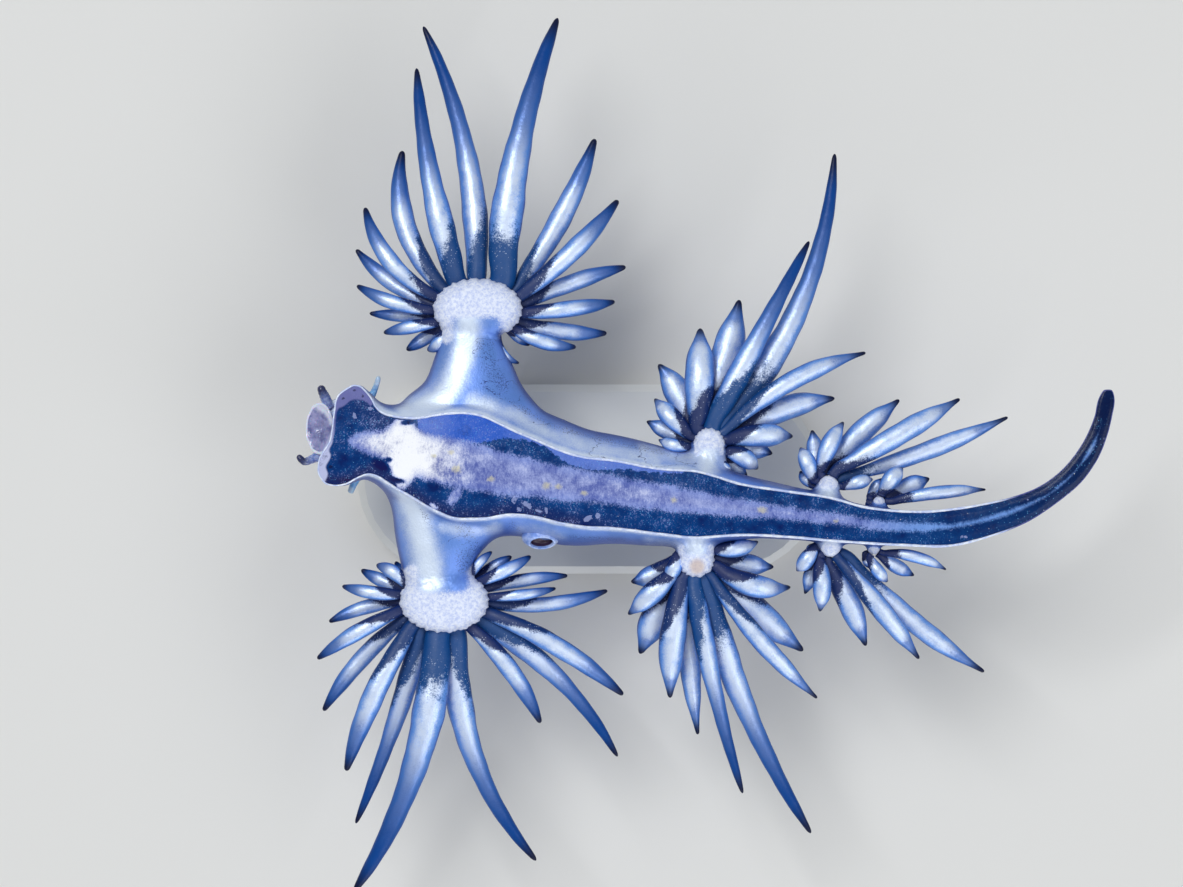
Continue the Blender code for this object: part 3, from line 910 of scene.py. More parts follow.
@dataclass(frozen=True)
class LacquerFinish:
    """Satin white lacquer of the stand's base, with a faint orange-peel surface."""

    white: Tint = (232, 232, 228)
    grey: Tint = (222, 222, 219)

    def material(self) -> bpy.types.Material:
        """Builds the material.

        Returns:
            The material.
        """
        made, w, shader = new_material("stand_lacquer")
        place = w.place()
        base = w.mix(w.noise(place, 4.0, 3.0), colour(self.grey), colour(self.white))
        values = {"Base Color": base, "Roughness": w.ramp(w.noise(place, 1.5), 0.3, 0.7, 0.36, 0.46)}
        finish_shader(w, shader, values, w.noise(place, 0.5, 2.0), 0.06)
        return made


@dataclass(frozen=True)
class SteelFinish:
    """Brushed steel of the stand's rods, with rings left by turning."""

    steel: Tint = (196, 198, 202)
    groove: Tint = (150, 152, 158)

    def material(self) -> bpy.types.Material:
        """Builds the material.

        Returns:
            The material.
        """
        made, w, shader = new_material("stand_steel")
        place = w.place()
        parts = w.node("ShaderNodeSeparateXYZ", {0: place}).outputs
        height = w.times(parts["Z"], 14.0)
        at = w.node("ShaderNodeCombineXYZ", {0: parts["X"], 1: parts["Y"], 2: height}).outputs[0]
        brushed = w.noise(at, 0.9, 4.0, 0.7)
        values = {
            "Base Color": w.mix(brushed, colour(self.groove), colour(self.steel)),
            "Metallic": 1.0,
            "Roughness": w.ramp(brushed, 0.3, 0.7, 0.22, 0.40),
        }
        finish_shader(w, shader, values, brushed, 0.25)
        return made


@dataclass(frozen=True)
class FloorFinish:
    """Plain pale studio floor."""

    tint: Tint = (226, 224, 220)

    def material(self) -> bpy.types.Material:
        """Builds the material.

        Returns:
            The material.
        """
        made, w, shader = new_material("studio_floor")
        place = w.place()
        base = w.mix(w.noise(place, 30.0, 2.0), colour(self.tint), colour(tuple(c - 3 for c in self.tint)))
        finish_shader(w, shader, {"Base Color": base, "Roughness": 0.7}, w.noise(place, 1.0, 2.0), 0.02)
        return made


# ---- The foot


@dataclass
class Foot:
    """Outline of the foot: pairs of points on its right and left edge from the head to the tail."""

    rows: list[tuple[Point2, Point2]] = field(default_factory=lambda: [
        ((-12.51, 0.32), (-10.90, 4.37)),
        ((-12.19, -0.14), (-10.53, 4.28)),
        ((-11.91, -0.23), (-10.30, 4.05)),
        ((-11.45, -0.23), (-10.03, 3.70)),
        ((-11.13, -0.14), (-9.91, 3.45)),
        ((-10.86, 0.02), (-9.73, 3.22)),
        ((-10.53, 0.18), (-9.43, 3.04)),
        ((-10.21, 0.28), (-9.10, 2.95)),
        ((-9.80, 0.18), (-8.83, 2.90)),
        ((-9.38, -0.09), (-8.45, 2.86)),
        ((-8.83, -0.44), (-8.10, 2.85)),
        ((-8.28, -0.74), (-7.75, 2.87)),
        ((-7.45, -1.24), (-7.20, 2.97)),
        ((-6.26, -1.75), (-6.30, 3.08)),
        ((-5.47, -1.79), (-5.60, 3.07)),
        ((-4.69, -1.75), (-4.90, 2.93)),
        ((-3.91, -1.61), (-4.14, 2.58)),
        ((-3.13, -1.61), (-3.30, 2.18)),
        ((-2.30, -1.75), (-2.40, 1.80)),
        ((-1.38, -1.98), (-1.38, 1.36)),
        ((-0.23, -2.16), (-0.23, 1.04)),
        ((0.92, -2.21), (0.92, 0.92)),
        ((3.22, -2.48), (3.22, 0.51)),
        ((5.06, -2.65), (5.06, 0.37)),
        ((5.98, -2.58), (5.80, 0.16)),
        ((6.90, -2.53), (6.67, -0.12)),
        ((9.20, -2.62), (8.97, -0.51)),
        ((11.36, -2.81), (11.27, -0.87)),
        ((12.42, -2.88), (12.42, -1.20)),
        ((14.49, -2.99), (14.86, -1.46)),
        ((16.56, -3.02), (16.42, -1.38)),
        ((18.40, -2.58), (17.94, -1.15)),
        ((20.24, -1.84), (19.46, -0.80)),
        ((21.71, -0.85), (20.70, -0.31)),
        ((22.54, -0.14), (21.48, 0.23)),
        ((23.31, 0.92), (22.22, 1.01)),
        ((23.69, 1.79), (22.77, 1.84)),
        ((23.97, 2.81), (23.23, 2.91)),
        ((24.10, 3.86), (23.46, 3.83)),
        ((24.01, 4.14), (23.64, 4.14)),
    ])
    # How far the front edge bulges forward, from its right end to its left
    front: list[Point2] = field(default_factory=lambda: [
        (0.0, 0.0), (0.12, 0.17), (0.24, 0.13), (0.33, 0.03), (0.48, 0.13), (0.67, 0.34), (0.84, 0.45),
        (1.0, 0.0),
    ])
    front_reach: float = 2.2

    def __post_init__(self) -> None:
        """Works out the distance of each row along the middle line."""
        ends = np.array(self.rows)
        middle = ends.mean(axis=1)
        self.places = np.concatenate([[0], np.cumsum(np.linalg.norm(np.diff(middle, axis=0), axis=1))])
        self.ends = ends.reshape(len(ends), 4)
        self.length = float(self.places[-1])

    def edges(self, along: Array) -> tuple[Array, Array]:
        """Right and left edge points.

        Args:
            along: distances from the front row.

        Returns:
            Two arrays of points in plan.
        """
        read = smooth_curve(self.places, self.ends, along)
        return read[:, :2], read[:, 2:]

    def along_x(self, x: Array) -> Array:
        """Distance along the middle line at values of x, which holds up to the bend of the tail."""
        middle = self.ends[:, ::2].mean(axis=1)
        return np.interp(x, middle, self.places)

    def point(self, along: Array, share: Array) -> Array:
        """Points of the foot in plan.

        Args:
            along: distances from the front row.
            share: place between the right edge at -1 and the left at 1.

        Returns:
            Array of along by share by 2.
        """
        right, left = self.edges(along)
        part = (share[None, :, None] + 1) / 2
        plan = right[:, None] * (1 - part) + left[:, None] * part
        run = self.ends[0, 2:] - self.ends[0, :2]
        forward = np.array([-run[1], run[0]]) / np.linalg.norm(run)
        bulge = read_table(self.front, (share + 1) / 2)
        fade = step(self.front_reach, 0.0, along)
        return plan + fade[:, None, None] * bulge[None, :, None] * forward


@dataclass
class Blob:
    """A soft oval marking: its middle, its half sizes and its turn in degrees."""

    x: float
    y: float
    long: float
    wide: float
    turn: float = 0.0

    def read(self, x: Array, y: Array, soft: float = 0.5) -> Array:
        """Strength of the marking.

        Args:
            x: places along the body.
            y: places across.
            soft: share of its size that fades out.

        Returns:
            1 inside it and 0 outside.
        """
        cos, sin = math.cos(math.radians(self.turn)), math.sin(math.radians(self.turn))
        u, v = x - self.x, y - self.y
        reach = np.hypot((u * cos + v * sin) / self.long, (v * cos - u * sin) / self.wide)
        return step(1.0 + soft / 2, 1.0 - soft, reach)


def strongest(blobs: list[Blob], x: Array, y: Array, soft: float = 0.5) -> Array:
    """Greatest strength of several markings at each place."""
    return np.max([blob.read(x, y, soft) for blob in blobs], axis=0)


@dataclass
class Sole:
    """The foot's face: a thin slab of skin, a little domed, that dips inside its rim."""

    foot: Foot
    steps: int = 600
    columns: int = 80
    dome: float = 0.13
    dip: float = 0.05
    thickness: float = 0.25
    rim_radius: float = 0.070
    rim_lift: float = 0.015
    rim_points: int = 2400
    rim_sides: int = 12
    rim_smoothings: int = 10
    # x with the upper and lower edge of the silver stripe, up to the tail
    stripe: list[Point3] = field(default_factory=lambda: [
        (-11.15, 1.78, 1.80), (-10.95, 2.04, 1.52), (-10.62, 2.18, 1.30), (-10.03, 2.30, 1.06),
        (-9.43, 2.40, 0.76), (-9.10, 2.62, 0.25), (-8.90, 2.90, -0.30), (-8.60, 2.95, -0.45),
        (-8.35, 2.90, -0.30), (-8.05, 2.56, 0.02), (-7.36, 2.16, -0.10), (-6.44, 2.02, -0.36),
        (-5.29, 1.72, -0.55), (-4.14, 1.38, -0.70), (-2.99, 1.08, -0.80), (-1.84, 0.80, -0.88),
        (-0.69, 0.58, -1.00), (0.46, 0.38, -1.10), (1.61, 0.16, -1.25), (2.76, -0.06, -1.38),
        (5.06, -0.50, -1.58), (7.36, -0.92, -1.75), (9.66, -1.29, -1.93), (11.96, -1.61, -2.16),
        (14.26, -1.93, -2.39), (16.56, -2.02, -2.25),
    ])
    # x with the middle and half width of the thin streak of the tail
    tail_stripe: list[Point3] = field(default_factory=lambda: [
        (16.4, 0.06, 0.12), (18.5, 0.05, 0.11), (20.2, 0.05, 0.09), (21.2, 0.0, 0.02), (21.9, 0.05, 0.05),
        (22.5, 0.03, -0.02), (23.1, 0.0, 0.10), (23.4, 0.0, -0.02), (23.9, 0.0, -0.10),
    ])
    # How bright the stripe is along x
    glow: list[Point2] = field(default_factory=lambda: [
        (-11.0, 0.3), (-10.2, 0.6), (-9.3, 1.0), (-7.6, 1.0), (-6.8, 0.72), (-6.0, 0.48), (-5.0, 0.30),
        (-3.5, 0.20), (-1.0, 0.16), (1.4, 0.36), (3.6, 0.12), (7.0, 0.14), (8.8, 0.30), (12.0, 0.32),
        (14.5, 0.30), (17.0, 0.22), (21.0, 0.20),
    ])
    # Width of the royal-blue strip inside the left rim along x
    strip: list[Point2] = field(default_factory=lambda: [
        (-8.35, -0.3), (-7.95, 0.9), (-7.0, 1.5), (-5.15, 1.30), (-4.5, 1.03), (-3.96, 0.62), (-3.22, 0.32),
        (-2.67, 0.16), (-2.0, 0.17), (-1.38, 0.36), (-0.83, 0.48), (-0.09, 0.52), (0.92, 0.48), (2.07, 0.25),
        (3.2, 0.19), (4.1, 0.13), (4.8, -0.04), (6.0, -0.3),
    ])
    # Inner edges of the head's glassy margin: y along x on the left lobe, and x along y in front
    upper_veil: list[Point2] = field(default_factory=lambda: [
        (-12.0, 3.15), (-11.64, 3.28), (-11.33, 3.40), (-11.02, 3.65), (-10.60, 3.70), (-10.23, 3.55),
        (-10.04, 3.32),
    ])
    front_veil: list[Point2] = field(default_factory=lambda: [
        (-0.2, -12.24), (0.28, -12.07), (0.64, -12.14), (0.89, -12.0), (1.13, -11.92), (1.38, -12.0),
        (1.63, -11.88), (2.12, -11.78), (2.61, -11.71), (3.22, -11.62), (3.5, -11.45),
    ])
    haze: list[Blob] = field(default_factory=lambda: [
        Blob(-6.2, -0.72, 0.50, 0.24, 55.0), Blob(-7.2, -1.2, 0.25, 0.10, -35.0),
    ])
    islands: list[Blob] = field(default_factory=lambda: [
        Blob(-9.65, 0.68, 0.42, 0.22, -30.0), Blob(-8.82, 0.0, 0.34, 0.14, -10.0),
        Blob(-8.4, 2.66, 0.34, 0.14, 15.0), Blob(-9.2, 0.95, 0.22, 0.14),
        Blob(-8.7, 2.86, 0.24, 0.09, -5.0),
    ])
    # Pale marks of the stripe: the first is a lilac fleck of the skin, the second a painted glint of light
    # beside the dark spot at the front
    glints: list[Blob] = field(default_factory=lambda: [
        Blob(-8.85, 2.50, 0.10, 0.28), Blob(-11.73, 0.68, 0.09, 0.07),
    ])
    ochres: list[Blob] = field(default_factory=lambda: [
        Blob(-7.18, 1.10, 0.18, 0.13), Blob(-6.39, 1.27, 0.22, 0.16, 20.0), Blob(-6.12, 0.51, 0.32, 0.27),
        Blob(-4.55, 0.05, 0.26, 0.18), Blob(-2.0, -0.25, 0.30, 0.24), Blob(-1.45, -0.30, 0.24, 0.18),
        Blob(-0.28, -0.60, 0.24, 0.16), Blob(3.85, -0.92, 0.22, 0.18), Blob(7.93, -1.38, 0.34, 0.22),
        Blob(11.3, -1.90, 0.18, 0.12), Blob(23.0, 1.47, 0.22, 0.40, 25.0),
    ])
    flakes: list[Blob] = field(default_factory=lambda: [
        Blob(-3.50, -0.92, 0.12, 0.22, -10.0), Blob(-2.90, -1.14, 0.30, 0.11, -35.0),
        Blob(-3.28, -1.36, 0.12, 0.12), Blob(-2.35, -1.42, 0.24, 0.07, -12.0),
        Blob(-2.0, -1.40, 0.07, 0.16, 10.0), Blob(-0.10, -1.78, 0.26, 0.13, 30.0),
        Blob(0.35, -1.65, 0.12, 0.16), Blob(-10.84, 2.96, 0.10, 0.20, 15.0),
        Blob(-10.1, 3.28, 0.12, 0.09), Blob(17.3, -2.62, 0.10, 0.07),
    ])
    spots: list[Blob] = field(default_factory=lambda: [
        Blob(-10.84, 4.13, 0.09, 0.06), Blob(-11.93, 0.60, 0.12, 0.10),
        Blob(-11.35, 3.75, 0.10, 0.06, 40.0), Blob(-10.45, 3.85, 0.06, 0.10),
        Blob(-8.35, 2.62, 0.05, 0.12, 30.0), Blob(-8.82, 0.02, 0.20, 0.05, -8.0),
    ])

    def build(self) -> None:
        """Builds the slab and its rim."""
        along = np.linspace(0, self.foot.length, self.steps)
        share = np.sin(np.linspace(-math.pi / 2, math.pi / 2, self.columns))
        plan = self.foot.point(along, share)
        right, left = plan[:, 0], plan[:, -1]
        half = np.linalg.norm(left - right, axis=1) / 2
        scale = np.minimum(1.0, half)[:, None]
        crown = self.dome * (1 - share**2) - self.dip * step(0.55, 0.95, np.abs(share))
        lumps = 0.02 * np.sin(along * 1.9)[:, None] * np.cos(share * 2.4)[None, :]
        top = SOLE_Z + (crown[None, :] + lumps * (1 - share**2)) * scale
        under = SOLE_Z - self.thickness * scale * np.sqrt(np.maximum(1 - share**2, 0))[None, :]
        upper = np.dstack([plan, top])
        lower = np.dstack([plan, under])
        rings = np.concatenate([upper, lower[:, -2:0:-1]], axis=1)
        shares = np.concatenate([share, share[-2:0:-1]])
        marks = self.marks(rings, along, shares, half)
        made = make_object("foot_sole", loft(rings, marks), SoleFinish().material())
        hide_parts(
            "head", "trunk_front", "trunk_mid", "trunk_rear", "tail_base", "tail_mid", "tail_tip",
        )
        self.build_rim(upper)

    def build_rim(self, upper: Array) -> None:
        """Builds the pale rim as a low ridge round the whole foot.

        Args:
            upper: grid of the sole's upper face.
        """
        loop = np.concatenate([upper[:, -1], upper[-1, -2:0:-1], upper[::-1, 0], upper[0, 1:-1]])
        gaps = np.linalg.norm(np.diff(np.vstack([loop, loop[:1]]), axis=0), axis=1)
        places = np.concatenate([[0], np.cumsum(gaps)])
        even = np.linspace(0, places[-1], self.rim_points, endpoint=False)
        closed = np.vstack([loop, loop[:1]])
        path = np.stack([np.interp(even, places, closed[:, k]) for k in range(3)], axis=1)
        for _ in range(self.rim_smoothings):
            path = (np.roll(path, 1, axis=0) + 2 * path + np.roll(path, -1, axis=0)) / 4
        wave = 0.5 * np.sin(even * 4.1) + 0.3 * np.sin(even * 9.7 + 1.0) + 0.2 * np.sin(even * 23.0)
        path[:, 2] += self.rim_lift + 0.010 * wave
        x = path[:, 0]
        thick = 0.34 + 0.18 * step(22.0, 16.0, x) + 0.36 * step(-10.5, -9.0, x) * step(22.0, 16.0, x)
        ridge = tube(path, self.rim_radius * thick * (1 + 0.14 * wave), self.rim_sides, closed=True)
        ridge.marks["end"] = np.repeat(step(17.0, 21.0, x), self.rim_sides)
        finish = PlainFinish("rim_skin", (236, 242, 255), (190, 204, 244), (50, 62, 138), metallic=0.10)
        made = make_object("foot_rim", ridge, finish.material())
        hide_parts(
            "head", "trunk_front", "trunk_mid", "trunk_rear", "tail_base", "tail_mid", "tail_tip",
        )

    def marks(self, rings: Array, along: Array, shares: Array, half: Array) -> dict[str, Array]:
        """Values that place the sole's markings.

        Args:
            rings: points of the slab.
            along: distance of each ring from the front.
            shares: place of each point across the foot.
            half: half width of the foot at each ring.

        Returns:
            Named values on the points.
        """
        x, y = rings[..., 0], rings[..., 1]
        flat = np.ones_like(x)
        middle_x = x.mean(axis=1)
        from_left = (1 - shares)[None, :] * half[:, None]
        from_right = (1 + shares)[None, :] * half[:, None]

        edges = read_table(self.stripe, x)
        inside = np.minimum(edges[..., 0] - y, y - edges[..., 1])
        centre, width = read_table(self.tail_stripe, middle_x).T
        streak = width[:, None] - np.abs(shares[None, :] * half[:, None] - centre[:, None])
        inside = np.where((middle_x > self.tail_stripe[0][0])[:, None], streak, inside)
        inside = np.maximum(inside, 0.35 * strongest(self.haze, x, y, 0.6) - 0.1)
        inside = inside - 0.8 * strongest(self.islands, x, y, 1.1)

        bright = read_table(self.glow, x) * np.clip(0.35 + inside / 0.45, 0.2, 1)
        # One of these marks whitens the sole as a painted glint
        bright = np.maximum(bright, 0.8 * strongest(self.glints, x, y))
        reach = read_table(self.strip, middle_x)
        veil = np.maximum(
            y - read_table(self.upper_veil, x) - 2.0 * step(-10.1, -9.7, x),
            read_table(self.front_veil, y) - x,
        )
        plum = step(0.9, 0.15, from_right) * step(-12.6, -11.5, x) * step(3.0, -1.0, x)
        plum = np.maximum(plum, step(1.6, 0.3, from_left) * step(-8.0, -9.2, x) * 0.55)
        plum = np.maximum(plum, 1.4 * step(0.75, 0.1, from_right) * step(-10.2, -11.2, x))
        snow = 0.26 * step(-8.5, -10.4, x) * step(-11.7, -10.9, x) + 0.03
        snow = np.where(x > 18, 0.02, snow)
        return {
            "along": along[:, None] * flat,
            "across": shares[None, :] * half[:, None],
            "stripe": inside,
            "bright": bright,
            "strip": reach[:, None] - from_left,
            "slate": np.maximum(step(-4.6, -2.4, x), 0.6 * step(-5.9, -7.2, x)),
            "veil": veil,
            "pale": step(3.0, 1.2, y),
            "ochre": strongest(self.ochres, x, y, 0.9),
            "plum": plum,
            "snow": snow,
            "flake": strongest(self.flakes, x, y, 0.3),
            "spot": strongest(self.spots, x, y),
        }


# ---- Cerata


class CerasForm(Enum):
    """Build of a ceras: how its width runs from root to tip, and where its dark tip starts."""

    LONG = "long"
    FINGER = "finger"
    LEAF = "leaf"

    @property
    def fullness(self) -> float:
        """Width of its belly as a share of the width seen in the middle of its length."""
        return {CerasForm.LONG: 1.0, CerasForm.FINGER: 1.08, CerasForm.LEAF: 1.27}[self]

    @property
    def fade(self) -> float:
        """Share along it where the dark tip starts to show."""
        return {CerasForm.LONG: 0.34, CerasForm.FINGER: 0.56, CerasForm.LEAF: 0.74}[self]

    @property
    def girth(self) -> list[Point2]:
        """Knots of share along and share of the full width.

        Returns:
            The knots, from root to tip.
        """
        return {
            CerasForm.LONG: [
                (0.0, 0.74), (0.14, 0.93), (0.27, 1.0), (0.42, 0.87), (0.55, 0.73), (0.68, 0.61),
                (0.80, 0.50), (0.90, 0.37), (0.96, 0.25), (1.0, 0.14),
            ],
            CerasForm.FINGER: [
                (0.0, 0.62), (0.20, 0.84), (0.45, 1.0), (0.62, 0.96), (0.76, 0.80), (0.87, 0.58),
                (0.94, 0.40), (1.0, 0.24),
            ],
            CerasForm.LEAF: [
                (0.0, 0.52), (0.16, 0.72), (0.34, 0.93), (0.50, 1.0), (0.66, 0.95), (0.78, 0.76),
                (0.87, 0.48), (0.94, 0.28), (1.0, 0.16),
            ],
        }[self]


@dataclass
class Ceras:
    """One finger of a fan, given as it is seen from the foot's side."""

    root: float  # bearing of its root round the pad, degrees
    aim: float  # bearing from root to tip
    length: float
    bow: float  # bend to the left of its aim, share of the length
    width: float


@dataclass
class Fan:
    """A fan of cerata round the rim of a pad."""

    piece: str
    node: str
    pad: Point3  # x, y and height below the sole
    radii: Point3
    form: CerasForm
    dark_root: float
    seed: int
    cerata: list[Ceras]
    teal: float = 1.0
    # How much further the navy root reaches on the side that faces the neighbouring cerata: painted shade
    # over the root's own navy
    shaded_side_lean: float = 0.65
    root_loss: float = 0.35
    flatness: float = 0.86
    droop: float = 0.13
    stagger: float = 0.15
    sides: int = 24
    long_from: float = 9.0  # length from which a ceras has the long form

    @property
    def side(self) -> float:
        """1 on the animal's left and -1 on its right."""
        return math.copysign(1.0, self.pad[1] - MIDLINE_Y)

    @property
    def swell(self) -> float:
        """Size of its pad as a share of the radii on which the cerata root."""
        return float(np.interp(self.radii[0], (0.5, 0.8, 1.0, 2.0), (0.52, 0.58, 0.86, 1.0)))

    def build(self, material: bpy.types.Material) -> None:
        """Builds all cerata of the fan as one piece.

        Args:
            material: the cerata's finish.
        """
        draw = np.random.default_rng(self.seed)
        shapes = [self.ceras(one, k, draw) for k, one in enumerate(self.cerata)]
        made = make_object(self.piece, join_shapes(shapes), material)
        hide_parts(self.node)

    def ceras(self, one: Ceras, place: int, draw: np.random.Generator) -> Shape:
        """Shape of one ceras.

        Args:
            one: its sizes.
            place: its place in the fan.
            draw: random numbers of the fan.

        Returns:
            The shape with its marks.
        """
        turn, aim = math.radians(one.root), math.radians(one.aim)
        rx, ry, rz = self.radii
        reach = 0.97 / math.hypot(math.cos(turn) / rx, math.sin(turn) / ry)
        out = np.array([math.cos(turn), math.sin(turn)]) * reach
        lift = self.stagger * (1 if place % 2 else -1)
        height = SOLE_Z + self.pad[2] - 0.25 * rz + lift
        root = np.array([self.pad[0] + out[0], self.pad[1] + out[1], height])
        ahead = np.array([math.cos(aim), math.sin(aim), 0.0])
        left = np.array([-ahead[1], ahead[0], 0.0])

        sunk = -min(0.6, 0.45 * reach) / one.length
        knots = np.linspace(0, 1, 9)
        side = 4 * one.bow * one.length * knots * (1 - knots)
        points = root + knots[:, None] * one.length * ahead + side[:, None] * left
        points[:, 2] += 2.5 * lift * np.sin(math.pi * knots) - self.droop * one.length * knots**1.6
        start = root + np.array([*(-out / reach), 0.0]) * (-sunk * one.length)
        points = np.vstack([start, points])
        knots = np.concatenate([[sunk], knots])

        count = int(14 + 4.2 * one.length)
        even = np.linspace(0, 1, count)
        rounding = 1 - np.cumprod(np.full(6, 0.5))
        t = np.concatenate([[sunk, 0.5 * sunk], even[:-1], even[-2] + (1 - even[-2]) * rounding])
        path = smooth_curve(knots, points, t)
        heading = unit(np.gradient(path, axis=0))
        across, up = across_and_up(heading)

        form = CerasForm.LONG if one.length > self.long_from else self.form
        width = one.width * form.fullness * read_table(form.girth, np.clip(t, 0, 1))
        end = np.clip((1 - t) * one.length / (0.16 * one.width), 0, 1)
        width = width * np.sqrt(np.maximum(1 - (1 - end) ** 2, 0.004))
        waves = draw.uniform(0, 2 * math.pi, 4)
        angles = round_angles(self.sides)
        around = angles[None, :]
        run = (t * one.length)[:, None]
        ripple = 1 + 0.022 * np.sin(2.3 * run + waves[0] + np.sin(around + waves[1]))
        ripple = (
            ripple + 0.016 * np.sin(4.9 * run + waves[2] + 2 * around) + 0.012 * np.sin(3 * around + waves[3])
        )
        depth = np.maximum(self.flatness * width, 0.0)
        offsets = across[:, None] * (np.cos(around) * width[:, None] / 2 * ripple)[..., None]
        offsets = offsets + up[:, None] * (np.sin(around) * depth[:, None] / 2 * ripple)[..., None]
        rings = path[:, None] + offsets
        flat = np.ones_like(ripple)
        long_share = min(1.0, max(0.0, (one.length - 4.0) / 8.0))
        dark = self.dark_root * (1 - self.root_loss * long_share) + draw.uniform(-0.03, 0.03)
        # The dark root reaches further on one side of each ceras and less on the other, as painted shade
        # where the neighbouring cerata shade it
        longest = max(range(len(self.cerata)), key=lambda k: self.cerata[k].length)
        shaded_side_lean = (
            self.shaded_side_lean * (0 if place == longest else math.copysign(1, place - longest))
            + draw.uniform(-0.15, 0.15)
        )
        marks = {
            "along": np.clip(t, 0, 1)[:, None] * flat,
            "lift": np.sin(around) * flat,
            "dark_root": dark * (1 + shaded_side_lean * np.cos(around)) * flat,
            "tone": self.teal * (0.35 + 0.65 * long_share) * draw.uniform(0.8, 1.2) * flat,
            "fade": (form.fade + draw.uniform(-0.03, 0.03)) * flat,
        }
        return loft(rings, marks)


def cerata_rows(rows: list[tuple[float, float, float, float, float]]) -> list[Ceras]:
    """Cerata from rows of root, aim, length, bow and width."""
    return [Ceras(*row) for row in rows]


